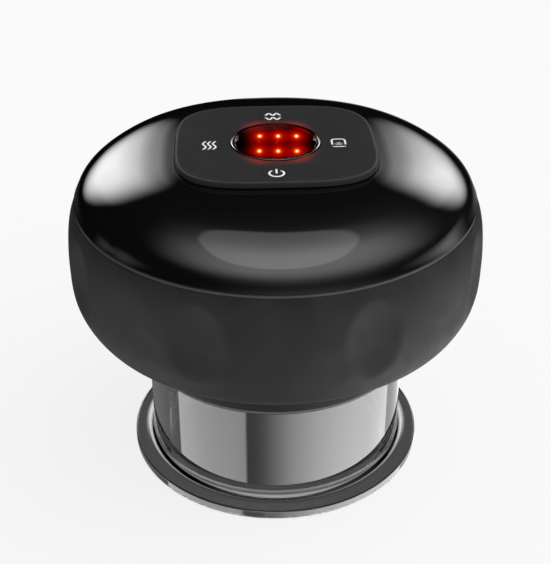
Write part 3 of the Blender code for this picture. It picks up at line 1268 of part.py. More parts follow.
# Points of the hoses' bends over the cell: shares of the way across, and of the hose's radius above it
PUMP_HOSE_SHARES = [(0.0, 0.3, 0.6), (0.3, 0.8, 0.8)]
PUMP_HOSE_APPROACH_SHARES = (0.85, 0.75)
VALVE_HOSE_SHARES = [(0.0, 0.165), (0.5, 0.5), (1.0, 0.855)]
HOSE_CREST_SHARE = 0.8


def make_hoses():
    nipple_top = FLOOR_TOP + NIPPLE_HEIGHT
    start = nipple_top - NOZZLE_LENGTH
    over_cell = CELL_Z + CELL_RADIUS + HOSE_RADIUS + 2 * REST_GAP
    climb = (over_cell - start) / 2
    inlet_end = INLET_MOUTH_Y + NOZZLE_LENGTH / 2
    loop = CELL_Y - AISLE_Y
    span = INLET_X - NIPPLE_X
    approach_x, approach_y = PUMP_HOSE_APPROACH_SHARES
    pump_route = [
        (NIPPLE_X, AISLE_Y, start),
        (NIPPLE_X, AISLE_Y, start + climb),
        (NIPPLE_X, AISLE_Y, over_cell - HOSE_RADIUS),
        *(
            (NIPPLE_X + span * x, AISLE_Y + loop * y, over_cell + HOSE_RADIUS * z)
            for x, y, z in PUMP_HOSE_SHARES
        ),
        (NIPPLE_X + span * approach_x, AISLE_Y + loop * approach_y, INLET_Z),
        (INLET_X, (inlet_end + AISLE_Y + loop) / 2, INLET_Z),
        (INLET_X, inlet_end, INLET_Z),
    ]
    tube("pump_hose", smooth_line(pump_route, 2), HOSE_RADIUS, SILICONE, 2, HOSE_WALL)
    valve_end = VALVE_BODY_TOP + NOZZLE_LENGTH / 2
    span, reach = VALVE_X + NIPPLE_X, VALVE_Y - AISLE_Y
    crest = over_cell + HOSE_RADIUS * HOSE_CREST_SHARE
    valve_route = [
        (-NIPPLE_X, AISLE_Y, start),
        (-NIPPLE_X, AISLE_Y, start + climb),
        (-NIPPLE_X, AISLE_Y, over_cell - HOSE_RADIUS),
        *((span * x - NIPPLE_X, AISLE_Y + reach * y, crest) for x, y in VALVE_HOSE_SHARES),
        (VALVE_X, VALVE_Y, (crest + valve_end) / 2 + HOSE_RADIUS / 2),
        (VALVE_X, VALVE_Y, valve_end),
    ]
    tube("valve_hose", smooth_line(valve_route, 2), HOSE_RADIUS, SILICONE, 2, HOSE_WALL)


# Screws
def make_screw(name, head_bottom, length, place):
    head_top = head_bottom + SCREW_HEAD_HEIGHT
    point = SCREW_SHANK_RADIUS / 2
    profile = [
        (0, head_top + length),
        (point, head_top + length),
        (SCREW_SHANK_RADIUS, head_top + length - point),
        (SCREW_SHANK_RADIUS, head_top),
        (SCREW_HEAD_RADIUS, head_top),
        (SCREW_HEAD_RADIUS, head_bottom + SCREW_HEAD_HEIGHT / 3),
        (SCREW_HEAD_RADIUS - SCREW_HEAD_HEIGHT / 3, head_bottom),
        (0, head_bottom),
    ]
    turned(name, profile, STEEL, TINY_STEPS, None, Matrix.Translation((*place, 0)))


def make_screws():
    seat = PILLAR_TOP - PILLAR_END_WALL - REST_GAP
    for i, place in enumerate(PILLAR_PLACES):
        make_screw(f"case_screw_{i + 1}", seat - SCREW_HEAD_HEIGHT, SCREW_LENGTH, place)
    seat = PLATE_BOTTOM - REST_GAP
    for i, side in enumerate((-1, 1)):
        place = (side * HEAD_SCREW_X, AISLE_Y)
        make_screw(f"head_screw_{i + 1}", seat - SCREW_HEAD_HEIGHT, HEAD_SCREW_LENGTH, place)


make_cup()
make_suction_head()
make_skin_side()
make_grip_shell()
make_dome_cover()
make_key_pad()
for key_name, key_place in KEY_PLACES.items():
    make_key(key_name, key_place)
make_display()
make_inner_frame()
make_main_board()
make_cell()
make_charge_port()
make_motor()
make_pump_drive()
make_pump()
make_valve()
make_hoses()
make_screws()
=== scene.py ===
"""A hand-held cupping massager standing on its clear cup, in a plain white studio.

Metres, +Z up. The origin is the centre of the cup's mouth, and the power key is on the -Y side.
"""

import math

import bmesh
import bpy
from mathutils import Matrix, Vector


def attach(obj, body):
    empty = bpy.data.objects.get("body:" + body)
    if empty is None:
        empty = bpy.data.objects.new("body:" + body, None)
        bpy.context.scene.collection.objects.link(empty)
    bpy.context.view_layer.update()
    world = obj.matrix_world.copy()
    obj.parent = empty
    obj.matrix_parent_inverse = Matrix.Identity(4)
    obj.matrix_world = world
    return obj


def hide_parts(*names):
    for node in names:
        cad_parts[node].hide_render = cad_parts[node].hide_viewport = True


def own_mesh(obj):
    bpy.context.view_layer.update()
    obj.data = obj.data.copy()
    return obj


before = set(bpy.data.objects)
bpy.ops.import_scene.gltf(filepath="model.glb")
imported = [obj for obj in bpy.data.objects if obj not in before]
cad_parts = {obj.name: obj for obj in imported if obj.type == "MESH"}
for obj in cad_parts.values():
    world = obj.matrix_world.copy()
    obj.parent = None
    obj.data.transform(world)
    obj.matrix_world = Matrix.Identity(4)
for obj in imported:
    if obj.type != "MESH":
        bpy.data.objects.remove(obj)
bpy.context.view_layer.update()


# Studio
# A white table in a white room, with soft lamps round it that show as panels in the massager's gloss.
# Two tall boxes stand behind it, a flat one hangs over it, and strips below the table's edge show in the cup.
MM = 0.001
TURN = 2 * math.pi
VIEW_TURN = math.radians(2.6)
VIEW_PITCH = math.radians(31.21)
VIEW_BACK = 243.34 * MM
VIEW_HEIGHT = 190.865 * MM
LENS = 75
FLOOR_SIZE = 6.0
FLOOR_DROP = 0.2 * MM
FLOOR_MATTE = 0.14
FLOOR_SIDE_SHADE = 0.75
WHITE = 0.955


def placed(name, data):
    """A new object in the scene."""
    obj = bpy.data.objects.new(name, data)
    bpy.context.scene.collection.objects.link(obj)
    return obj


camera = placed("camera", bpy.data.cameras.new("camera"))
camera.data.lens = LENS
camera.data.clip_start = 0.01
camera.location = (-VIEW_BACK * math.sin(VIEW_TURN), -VIEW_BACK * math.cos(VIEW_TURN), VIEW_HEIGHT)
camera.rotation_euler = (TURN / 4 - VIEW_PITCH, 0, -VIEW_TURN)
bpy.context.scene.camera = camera
bpy.context.scene.view_settings.view_transform = "Standard"


class Value:
    """An output of a node; arithmetic on it adds nodes to its tree."""

    def __init__(self, net, socket):
        self.net, self.socket = net, socket

    def math(self, operation, other=0.0):
        return self.net.math(operation, self, other)

    def ramp(self, low, high, to_low=0.0, to_high=1.0, smooth=True):
        """Runs from to_low to to_high while this runs from low to high, and stays level beyond."""
        inputs = {"Value": self, "From Min": low, "From Max": high, "To Min": to_low, "To Max": to_high}
        kind = "SMOOTHSTEP" if smooth else "LINEAR"
        return self.net.value("ShaderNodeMapRange", inputs, "Result", interpolation_type=kind)

    def parts(self):
        """The X, Y and Z of a vector."""
        return list(self.net.outputs("ShaderNodeSeparateXYZ", {0: self}).values())

    def dot(self, direction):
        return self.net.value("ShaderNodeVectorMath", {0: self, 1: direction}, "Value", operation="DOT_PRODUCT")

    def __abs__(self):
        return self.math("ABSOLUTE")

    def __neg__(self):
        return self.math("MULTIPLY", -1.0)

    def __add__(self, other):
        return self.math("ADD", other)

    def __sub__(self, other):
        return self.math("SUBTRACT", other)

    def __rsub__(self, other):
        return self.net.math("SUBTRACT", other, self)

    def __mul__(self, other):
        return self.math("MULTIPLY", other)

    def __truediv__(self, other):
        return self.math("DIVIDE", other)

    def __pow__(self, other):
        return self.math("POWER", other)

    def __rpow__(self, other):
        return self.net.math("POWER", other, self)

    def __lt__(self, other):
        return self.math("LESS_THAN", other)

    def __gt__(self, other):
        return self.math("GREATER_THAN", other)

    __radd__, __rmul__ = __add__, __mul__


def rgba(colour):
    """A colour with its alpha; one number stands for a grey."""
    return (*colour, 1) if isinstance(colour, tuple) else (colour, colour, colour, 1)


class Net:
    """A node tree being built."""

    def __init__(self, tree):
        self.tree = tree
        tree.nodes.clear()

    def feed(self, node, key, value):
        if isinstance(value, Value):
            self.tree.links.new(value.socket, node.inputs[key])
        else:
            node.inputs[key].default_value = value

    def node(self, kind, inputs=(), **settings):
        """A new node with its settings, values and links."""
        made = self.tree.nodes.new(kind)
        for key, value in settings.items():
            setattr(made, key, value)
        for key, value in dict(inputs).items():
            self.feed(made, key, value)
        return made

    def value(self, kind, inputs=(), output=0, **settings):
        """One output of a new node."""
        return Value(self, self.node(kind, inputs, **settings).outputs[output])

    def outputs(self, kind, inputs=()):
        """All outputs of a new node, by name."""
        return {socket.name: Value(self, socket) for socket in self.node(kind, inputs).outputs}

    def math(self, operation, a, b=0.0):
        return self.value("ShaderNodeMath", {0: a, 1: b}, operation=operation)

    def reach(self, x, y):
        return (x * x + y * y).math("SQRT")

    def vector(self, x=0.0, y=0.0, z=0.0):
        return self.value("ShaderNodeCombineXYZ", {0: x, 1: y, 2: z})

    def blend(self, share, low, high):
        """A colour from low to high by the share."""
        low, high = [colour if isinstance(colour, Value) else rgba(colour) for colour in (low, high)]
        return self.value("ShaderNodeMix", {"Factor": share, 6: low, 7: high}, 2, data_type="RGBA")


def heading(azimuth, elevation):
    """A direction by its angles in degrees; azimuth 0 is behind the camera and 90 to its right."""
    a, e = math.radians(azimuth), math.radians(elevation)
    return Vector((math.sin(a) * math.cos(e), -math.cos(a) * math.cos(e), math.sin(e)))


def softbox(ray, azimuth, elevation, half_width, half_height, feather, strength, corner, fade=(1.0, 1.0), roll=0.0):
    """A flat lamp far away with rounded corners, as brightness by direction; its angles are in degrees."""
    centre = heading(azimuth, elevation)
    a, t = math.radians(azimuth), math.radians(roll)
    side = Vector((math.cos(a), math.sin(a), 0))
    up = side.cross(centre)
    side, up = side * math.cos(t) + up * math.sin(t), up * math.cos(t) - side * math.sin(t)
    facing = ray.dot(centre)
    ahead = facing.math("MAXIMUM", 1e-3)
    across = ray.dot(side) / ahead / math.tan(math.radians(half_width))
    along = ray.dot(up) / ahead / math.tan(math.radians(half_height))
    reach = (abs(across) ** corner + abs(along) ** corner) ** (1 / corner)
    shade = along.ramp(-1.0, 1.0, fade[0] * strength, fade[1] * strength, False)
    return reach.ramp(1.0, 1.0 - feather) * shade * (facing > 0.01)


world = bpy.data.worlds.new("studio")
bpy.context.scene.world = world
world.use_nodes = True
net = Net(world.node_tree)
ray = net.value("ShaderNodeTexCoord", output="Generated")
x, y, z = ray.parts()
azimuth = x.math("ARCTAN2", -y).math("DEGREES")
elevation = z.math("ARCSINE").math("DEGREES")
SOFTBOXES = [
    dict(azimuth=-154, elevation=18.5, half_width=20, half_height=20, feather=0.85, strength=4.5, corner=2.4),
    dict(azimuth=147, elevation=20, half_width=22, half_height=19, feather=0.9, strength=4.2, corner=2.4),
    dict(azimuth=158, elevation=86.3, half_width=21.5, half_height=24.5, feather=0.1, strength=0.58, corner=2.1,
         fade=(1.1, 0.8), roll=-22),
]
# A halo stands high up behind the camera, and faint glows lie along the horizon on both sides.
HALO_STRENGTH = 1.15
RIGHT_GLOW, LEFT_GLOW = 0.5, 0.4
TABLE_EDGE_STRENGTH = 2.4
ROOM_DARK, ROOM_BRIGHTER = 0.5, 1.9
halo = HALO_STRENGTH * ray.dot(heading(35, 62)).ramp(0.33, 0.97) * elevation.ramp(12.0, 62.0, smooth=False)
halo = halo * y.ramp(0.55, -0.05, 0.1, 1.0)
right_glow = RIGHT_GLOW * azimuth.ramp(25.0, 60.0) * azimuth.ramp(125.0, 100.0)
left_glow = LEFT_GLOW * azimuth.ramp(-100.0, -85.0) * azimuth.ramp(-45.0, -65.0)
horizon = abs(elevation + 2.0).ramp(14.0, 4.0) * (right_glow + left_glow)
gloss = halo + horizon
for panel in SOFTBOXES:
    gloss = gloss + softbox(ray, **panel)

# The strips under the table's edge, by azimuth: a broad one on the left, and one on the right that fades to it.
STRIPS = [
    (-180, 0.05), (-150, 0.35), (-124, 0.6), (-102.5, 0.6), (-101.5, 3.9), (-84, 4.6), (-44, 5.0), (-30, 4.6),
    (-29, 0.5), (-20, 0.7), (-12, 1.25), (-4, 2.3), (4, 3.4), (12, 4.7), (20, 5.5), (36, 7.0), (56, 7.7),
    (76, 7.1), (92, 5.7), (116, 4.2), (121, 4.0), (122.5, 1.5), (132, 1.3), (150, 1.3), (161, 1.6), (166, 2.5),
    (172, 6.0), (179, 6.0), (180, 0.05),
]
STRIP_FULL = 8.0
strips = net.node("ShaderNodeValToRGB", {"Fac": azimuth.ramp(-180.0, 180.0, smooth=False)})
stops = strips.color_ramp.elements
for i, (at, level) in enumerate(STRIPS):
    stop = stops[i] if i < 2 else stops.new((at + 180) / 360)
    stop.position = (at + 180) / 360
    stop.color = rgba(level / STRIP_FULL)
below = elevation.ramp(-29.5, -31.5, 0.0, 0.85) + elevation.ramp(-6.0, -24.0, 0.0, 0.15)
below = below * elevation.ramp(-75.0, -55.0)
in_front = abs(azimuth).ramp(115.0, 80.0)
table_edge = TABLE_EDGE_STRENGTH * elevation.ramp(-31.5, -30.0) * elevation.ramp(6.0, -8.0) * in_front
gloss = gloss + table_edge + Value(net, strips.outputs[0]) * STRIP_FULL * below

# The room lights the matte pieces, the panels show in the glossy ones, and the camera sees plain white.
room = ROOM_DARK + ROOM_BRIGHTER * ray.dot(heading(80, 15)).ramp(0.1, 1.0)
paths = net.outputs("ShaderNodeLightPath")
glossy = net.value("ShaderNodeMix", {"Factor": paths["Is Glossy Ray"], 2: room, 3: gloss})
seen = paths["Is Camera Ray"].math("MAXIMUM", paths["Is Transmission Ray"] * (elevation < 0.5))
strength = net.value("ShaderNodeMix", {"Factor": seen, 2: glossy, 3: WHITE})
background = net.value("ShaderNodeBackground", {"Color": rgba(1), "Strength": strength})
net.node("ShaderNodeOutputWorld", {"Surface": background})

shape = bmesh.new()
bmesh.ops.create_grid(shape, x_segments=1, y_segments=1, size=FLOOR_SIZE / 2)
floor_mesh = bpy.data.meshes.new("floor")
shape.to_mesh(floor_mesh)
shape.free()
floor = placed("floor", floor_mesh)
floor.location.z = -FLOOR_DROP
floor_finish = bpy.data.materials.new("white_sweep")
floor_finish.use_nodes = True
floor.data.materials.append(floor_finish)
net = Net(floor_finish.node_tree)
paths = net.outputs("ShaderNodeLightPath")
matte = net.value("ShaderNodeBsdfDiffuse", {"Color": rgba(FLOOR_MATTE)})
glow = net.value("ShaderNodeEmission", {"Color": rgba(1), "Strength": WHITE - FLOOR_MATTE})
lit = net.value("ShaderNodeAddShader", {0: matte, 1: glow})
dull = net.value("ShaderNodeBsdfDiffuse", {"Color": rgba(FLOOR_SIDE_SHADE)})
through = net.value("ShaderNodeBsdfTransparent")
# Through the cup the floor is seen darker near the axis, a painted shadow under the cup, and in gloss it isn't seen
# at all.
place = net.value("ShaderNodeTexCoord", output="Object")
from_axis = net.value("ShaderNodeVectorMath", {0: place}, "Value", operation="LENGTH")
outside_painted_shadow = from_axis.ramp(24 * MM, 33 * MM, 0.12, 1.0)
seen = paths["Is Camera Ray"].math("MAXIMUM", paths["Is Transmission Ray"] * outside_painted_shadow)
shown = net.value("ShaderNodeMixShader", {"Fac": seen, 1: dull, 2: lit})
reflected = paths["Is Glossy Ray"] > paths["Is Transmission Ray"]
mirrored = net.value("ShaderNodeMixShader", {"Fac": reflected, 1: shown, 2: through})
net.node("ShaderNodeOutputMaterial", {"Surface": mirrored})


# Grip shell
# The lower half of the housing, injection moulded in ABS and sprayed with a soft-touch lacquer.
# Eight shallow finger dimples run round it, and the charge port's slot is at the back.
RIM_RADIUS = 46.215 * MM
RIM_ROUND = 0.5 * MM
GRIP_RADIUS = 48.415 * MM
GRIP_TOP = 67.9 * MM
GRIP_BOTTOM = 34.0 * MM
LIP_INNER = 33.6 * MM
LIP_OUTER = 34.6 * MM
SHELF_Z = 37.3 * MM
SHELF_RADIUS = 36.0 * MM
SHELL_WALL = 2.2 * MM
# How far up the side and how far out each point of its curve lies.
GRIP_SHARES = [(0.9, 0.93), (0.77, 0.98), (0.58, 1.0), (0.36, 0.96), (0.19, 0.74), (0.105, 0.40), (0.055, 0.0)]
GRIP_COLUMNS = 288
DIMPLES = 8
DIMPLE_DEPTH = 1.2 * MM
DIMPLE_HALF_WIDTH = 6.5 * MM
DIMPLE_HALF_HEIGHT = 9.6 * MM
DIMPLE_Z = 55.5 * MM
PORT_SLOT = (4.77 * MM, 1.93 * MM)
PORT_SLOT_SPAN = (40 * MM, 52 * MM)
PORT_Z = 53.2 * MM


def smooth_line(points, steps):
    """A smooth curve through the points, with the given steps to each stretch."""
    first = tuple(2 * a - b for a, b in zip(points[0], points[1]))
    last = tuple(2 * a - b for a, b in zip(points[-1], points[-2]))
    padded = [first, *points, last]
    made = []
    for i in range(1, len(padded) - 2):
        before, here, there, after = padded[i - 1 : i + 3]
        for j in range(steps):
            t = j / steps
            made.append(tuple(
                (2 * h + (n - b) * t + (2 * b - 5 * h + 4 * n - a) * t ** 2 + (3 * h - b - 3 * n + a) * t ** 3) / 2
                for b, h, n, a in zip(before, here, there, after)
            ))
    made.append(tuple(points[-1]))
    return made


def arc(centre, radius, start, end, steps):
    """Points of an arc, by angle in degrees from outwards towards up."""
    angles = [math.radians(start + (end - start) * i / steps) for i in range(steps + 1)]
    return [(centre[0] + radius * math.cos(t), centre[1] + radius * math.sin(t)) for t in angles]


def as_mesh(shape, angle=40):
    """A bmesh as a mesh with its faces outwards, smooth but for its sharp edges."""
    bmesh.ops.remove_doubles(shape, verts=shape.verts, dist=1e-7)
    bmesh.ops.recalc_face_normals(shape, faces=shape.faces)
    if shape.calc_volume(signed=True) < 0:
        bmesh.ops.reverse_faces(shape, faces=shape.faces)
    mesh = bpy.data.meshes.new("shape")
    shape.to_mesh(mesh)
    shape.free()
    mesh.shade_smooth()
    mesh.set_sharp_from_angle(angle=math.radians(angle))
    return mesh


def banded(shape, rings, closed=True):
    """Faces between rings of points; a ring of one point is a pole."""
    rows = [[shape.verts.new(p) for p in points] for points in rings]
    pairs = list(zip(rows, rows[1:] + rows[:1]))
    for row, following in pairs if closed else pairs[:-1]:
        for i in range(max(len(row), len(following))):
            corners = [row[i % len(row)], row[(i + 1) % len(row)]]
            corners += [following[(i + 1) % len(following)], following[i % len(following)]]
            corners = list(dict.fromkeys(corners))
            if len(corners) > 2:
                shape.faces.new(corners)
    return rows


def skinned(rings, angle=40, closed=True, place=Matrix()):
    """A mesh of faces between rings of points, moved to its place."""
    shape = bmesh.new()
    banded(shape, rings, closed)
    bmesh.ops.transform(shape, matrix=place, verts=shape.verts)
    return as_mesh(shape, angle)


def circle(radius, z, count, at=(0, 0)):
    turn = [TURN * i / count for i in range(count)]
    return [(at[0] + radius * math.cos(t), at[1] + radius * math.sin(t), z) for t in turn]


def turned(profile, columns, angle=40, place=Matrix()):
    """A profile of (radius, height) points turned about Z; it is closed, or meets the axis at both ends."""
    rings = [circle(r, z, columns) if r > 1e-9 else [(0, 0, z)] for r, z in profile]
    return skinned(rings, angle, len(rings[0]) > 1, place)


class Finish(Net):
    """A Principled material being built on its object's own coordinates; its sizes are in millimetres."""

    def __init__(self, name, colour, roughness, **sockets):
        self.material = bpy.data.materials.new(name)
        self.material.use_nodes = True
        super().__init__(self.material.node_tree)
        inputs = {"Base Color": rgba(colour), "Roughness": roughness}
        inputs.update({key.replace("_", " "): value for key, value in sockets.items()})
        self.shader = self.node("ShaderNodeBsdfPrincipled", inputs)
        self.node("ShaderNodeOutputMaterial", {"Surface": Value(self, self.shader.outputs[0])})
        self.where = self.stretched()

    def stretched(self, scale=(1, 1, 1), turn=(0, 0, 0)):
        """The object's coordinates, scaled and turned."""
        place = self.value("ShaderNodeTexCoord", output="Object")
        return self.value("ShaderNodeMapping", {"Vector": place, "Scale": scale, "Rotation": turn})

    def noise(self, size, detail, where=None):
        """Noise from 0 to 1 whose features have about this size."""
        inputs = {"Vector": where or self.where, "Scale": 1 / (size * MM), "Detail": detail, "Roughness": 0.55}
        return self.value("ShaderNodeTexNoise", inputs, "Fac")

    def share(self, given):
        """A value as it is, or the noise of a size and detail."""
        return self.noise(*given) if isinstance(given, tuple) else given

    def tint(self, share, low, high):
        """The base colour runs from low to high with the share."""
        self.feed(self.shader, "Base Color", self.blend(self.share(share), low, high))

    def wear(self, share, low, high):
        """The roughness runs from low to high with the share."""
        self.feed(self.shader, "Roughness", self.share(share).ramp(0.3, 0.7, low, high))

    def bump(self, height, depth):
        bumped = self.value("ShaderNodeBump", {"Height": self.share(height), "Distance": depth * MM, "Strength": 1.0})
        self.feed(self.shader, "Normal", bumped)


def piece(name, shape, finish, slot, *stands_for, body="housing"):
    """A finished piece: in the scene, on its body, in place of its CAD nodes."""
    obj = shape if isinstance(shape, bpy.types.Object) else placed(name, shape)
    obj.name = obj.data.name = name
    obj.data.materials.clear()
    obj.data.materials.append(finish.material)
    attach(obj, body)
    if stands_for:
        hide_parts(*stands_for)
    return obj


def evaluated(obj):
    """The object's mesh with its modifiers run."""
    bpy.context.view_layer.update()
    return bpy.data.meshes.new_from_object(obj.evaluated_get(bpy.context.evaluated_depsgraph_get()))


class Growth(Net):
    """A Geometry Nodes tree being built, with a geometry, named sizes and a material as its inputs."""

    def __init__(self, name, sizes):
        tree = bpy.data.node_groups.new(name, "GeometryNodeTree")
        tree.interface.new_socket("Geometry", in_out="INPUT", socket_type="NodeSocketGeometry")
        for size, value in sizes.items():
            kind = "NodeSocketInt" if isinstance(value, int) else "NodeSocketFloat"
            tree.interface.new_socket(size, in_out="INPUT", socket_type=kind).default_value = value
        tree.interface.new_socket("Material", in_out="INPUT", socket_type="NodeSocketMaterial")
        tree.interface.new_socket("Geometry", in_out="OUTPUT", socket_type="NodeSocketGeometry")
        super().__init__(tree)
        self.given = self.outputs("NodeGroupInput")

    def end(self, geometry):
        """Makes the instances real and sets the material."""
        real = self.value("GeometryNodeRealizeInstances", {"Geometry": geometry})
        dressed = self.value("GeometryNodeSetMaterial", {"Geometry": real, "Material": self.given["Material"]})
        self.node("NodeGroupOutput", {"Geometry": dressed})

    def put(self, instance, points=None, **inputs):
        """The instance on every point, or on every point of the geometry that was given."""
        inputs.update({"Points": points or self.given["Geometry"], "Instance": instance})
        return self.value("GeometryNodeInstanceOnPoints", inputs)

    def joined(self, *parts):
        join = self.node("GeometryNodeJoinGeometry")
        for part in parts:
            self.feed(join, 0, part)
        return Value(self, join.outputs[0])

    def box(self, x, y, z):
        return self.value("GeometryNodeMeshCube", {"Size": self.vector(x, y, z)})

    def lifted(self, geometry, z):
        return self.value("GeometryNodeTransform", {"Geometry": geometry, "Translation": self.vector(z=z)})

    def swept(self, curve, profile):
        """A solid along a curve."""
        return self.value("GeometryNodeCurveToMesh", {"Curve": curve, "Profile Curve": profile, "Fill Caps": True})


def grown(obj, growth, finish, **sizes):
    """The object with the tree run on it and kept as a plain mesh."""
    modifier = obj.modifiers.new(growth.tree.name, "NODES")
    modifier.node_group = growth.tree
    settings = {**sizes, "Material": finish.material}
    for item in growth.tree.interface.items_tree:
        if item.in_out == "INPUT" and item.name in settings:
            modifier[item.identifier] = settings[item.name]
    mesh = evaluated(obj)
    name = obj.name
    bpy.data.objects.remove(obj)
    return placed(name, mesh)


def slab(low, high, rounding, segments=3):
    """A box between two corners with rounded edges."""
    shape = bmesh.new()
    bmesh.ops.create_cube(shape, size=1.0)
    for vert in shape.verts:
        vert.co = Vector([l + (h - l) * (c + 0.5) for l, h, c in zip(low, high, vert.co)])
    edges = list(shape.edges)
    bmesh.ops.bevel(shape, geom=edges, offset=rounding, segments=segments, profile=0.5, affect="EDGES")
    return as_mesh(shape)


rim = arc((RIM_RADIUS - RIM_ROUND, GRIP_TOP - RIM_ROUND), RIM_ROUND, 90, 10, 5)
side = [(RIM_RADIUS, GRIP_TOP)]
for rise, bulge in GRIP_SHARES:
    side.append((LIP_OUTER + (GRIP_RADIUS - LIP_OUTER) * bulge, GRIP_BOTTOM + (GRIP_TOP - GRIP_BOTTOM) * rise))
outer_line = [p for p in smooth_line(side, 11) if p[1] < GRIP_TOP - RIM_ROUND]
inner_line = [(r - SHELL_WALL, z) for r, z in smooth_line(side, 2) if SHELF_Z + MM < z < GRIP_TOP]
profile = rim + outer_line + [(LIP_INNER, side[-1][1]), (LIP_INNER, SHELF_Z), (SHELF_RADIUS, SHELF_Z)]
profile += inner_line[::-1] + [(inner_line[0][0], GRIP_TOP)]
grip = placed("grip", turned(profile, GRIP_COLUMNS, 50))
skin = grip.data.attributes.new("outside", "FLOAT", "POINT")
outer_points = GRIP_COLUMNS * len(rim + outer_line)
skin.data.foreach_set("value", [float(i < outer_points) for i in range(len(grip.data.vertices))])

dimpling = Growth("finger_dimples", {
    "Dimples": DIMPLES, "Depth": DIMPLE_DEPTH, "Half width": DIMPLE_HALF_WIDTH,
    "Half height": DIMPLE_HALF_HEIGHT, "Middle": DIMPLE_Z, "Round radius": GRIP_RADIUS})
given = dimpling.given
x, y, z = dimpling.value("GeometryNodeInputPosition").parts()
# The shell is cut into as many equal sectors as it has dimples, with a dimple in the middle of each.
sector = (y.math("ARCTAN2", x) / TURN * given["Dimples"] + 16.0).math("FRACT")
across = (sector - 0.5) * TURN / given["Dimples"] * given["Round radius"] / given["Half width"]
along = (z - given["Middle"]) / given["Half height"]
bowl = (1.0 - (across * across + along * along)).math("MAXIMUM", 0.0)
outside = dimpling.value("GeometryNodeInputNamedAttribute", {"Name": "outside"}, data_type="FLOAT")
outward = dimpling.value("ShaderNodeVectorMath", {0: dimpling.vector(x, y)}, operation="NORMALIZE")
sink = -(bowl * given["Depth"] * outside)
push = dimpling.value("ShaderNodeVectorMath", {0: outward, "Scale": sink}, operation="SCALE")
dimpling.end(dimpling.value("GeometryNodeSetPosition", {"Geometry": given["Geometry"], "Offset": push}))

soft_touch = Finish("soft_touch_lacquer", 0.033, 0.55, Specular_IOR_Level=0.06)
z = soft_touch.where.parts()[2]
# The lacquer is painted a little lighter along the rim: a painted highlight on the rim's rounding.
painted_rim_highlight = z.ramp(GRIP_TOP - 0.45 * MM, GRIP_TOP - 0.1 * MM)
soft_touch.tint(soft_touch.noise(8, 4).ramp(0.2, 0.8, 0.0, 0.12) + painted_rim_highlight, 0.016, 0.09)
soft_touch.wear((4, 5), 0.5, 0.6)
soft_touch.bump((0.16, 2), 0.008)
grip = grown(grip, dimpling, soft_touch)

slot_low = (-PORT_SLOT[0], PORT_SLOT_SPAN[0], PORT_Z - PORT_SLOT[1])
slot_high = (PORT_SLOT[0], PORT_SLOT_SPAN[1], PORT_Z + PORT_SLOT[1])
tool = placed("port_slot", slab(slot_low, slot_high, PORT_SLOT[1] * 0.95, 6))
cutter = grip.modifiers.new("Boolean", "BOOLEAN")
cutter.operation = "DIFFERENCE"
cutter.object = tool
mesh = evaluated(grip)
grip.modifiers.clear()
grip.data = mesh
bpy.data.objects.remove(tool)
grip.data.set_sharp_from_angle(angle=math.radians(40))
piece("grip_shell_moulding", grip, soft_touch, "soft_grey", "grip_shell")


# Dome cover
# The glossy upper half of the housing, moulded in ABS and lacquered piano black.
# It runs from a round seam to a rounded square under the key pad, and its skirt snaps into the grip shell.
PAD_HALF_WIDTH = 22.6 * MM
PAD_HALF_DEPTH = 20.9 * MM
PAD_POWER = 3.7
LEDGE = 1.6 * MM
SEAM_TOP = 68.3 * MM
DOME_TOP = 79.0 * MM
DOME_WALL = 1.6 * MM
SKIRT_RADIUS = 43.7 * MM
SKIRT_BOTTOM = 65.3 * MM
# For each ring: how far up it lies, how far out, and how square it is.
DOME_SHARES = [(0.0, 1.0, 0.0), (0.32, 0.925, 0.0), (0.57, 0.78, 0.04), (0.76, 0.58, 0.18), (0.89, 0.36, 0.42),
               (0.965, 0.15, 0.75), (1.0, 0.0, 1.0)]
DOME_COLUMNS = 256


def squircle(half_x, half_y, power, z, count):
    """A level ring between an ellipse and a rectangle."""
    points = []
    for i in range(count):
        c, s = math.cos(TURN * i / count), math.sin(TURN * i / count)
        x = half_x * math.copysign(abs(c) ** (2 / power), c)
        y = half_y * math.copysign(abs(s) ** (2 / power), s)
        points.append((x, y, z))
    return points


def plain(name, colour, roughness, tint, wear, bump, **sockets):
    """A finish that three noises vary: its colour, its roughness and its relief.

    Each is given by the noise's size and detail, and then the two ends that it runs between, or its depth.
    """
    finish = Finish(name, colour, roughness, **sockets)
    if tint:
        finish.tint(tint[:2], *tint[2:])
    finish.wear(wear[:2], *wear[2:])
    if bump:
        finish.bump(bump[:2], bump[2])
    return finish


rings = [circle(SKIRT_RADIUS, SEAM_TOP - 0.1 * MM, DOME_COLUMNS)]
rings.append(circle(RIM_RADIUS - 0.3 * MM, SEAM_TOP, DOME_COLUMNS))
dome_foot = SEAM_TOP + 0.15 * MM
for rise, spread, squareness in smooth_line(DOME_SHARES, 8):
    half_x = PAD_HALF_WIDTH + (RIM_RADIUS - PAD_HALF_WIDTH) * spread
    half_y = PAD_HALF_DEPTH + (RIM_RADIUS - PAD_HALF_DEPTH) * spread
    height = dome_foot + (DOME_TOP - dome_foot) * rise
    rings.append(squircle(half_x, half_y, 2 + (PAD_POWER - 2) * squareness, height, DOME_COLUMNS))
for height in (DOME_TOP, DOME_TOP - 2 * MM):
    rings.append(squircle(PAD_HALF_WIDTH - LEDGE, PAD_HALF_DEPTH - LEDGE, PAD_POWER, height, DOME_COLUMNS))
for height in (SEAM_TOP, SKIRT_BOTTOM):
    rings.append(circle(SKIRT_RADIUS - DOME_WALL, height, DOME_COLUMNS))
rings.append(circle(SKIRT_RADIUS, SKIRT_BOTTOM, DOME_COLUMNS))
piano_black = plain("piano_black_lacquer", (0.004, 0.004, 0.0045), 0.035,
                    (14, 2, (0.0034, 0.0034, 0.0038), (0.0048, 0.0048, 0.0052)),
                    (6, 6, 0.03, 0.05), (5, 1, 0.004), IOR=1.9)
piece("dome_cover_moulding", skinned(rings, 60), piano_black, "gloss_black", "dome_cover")


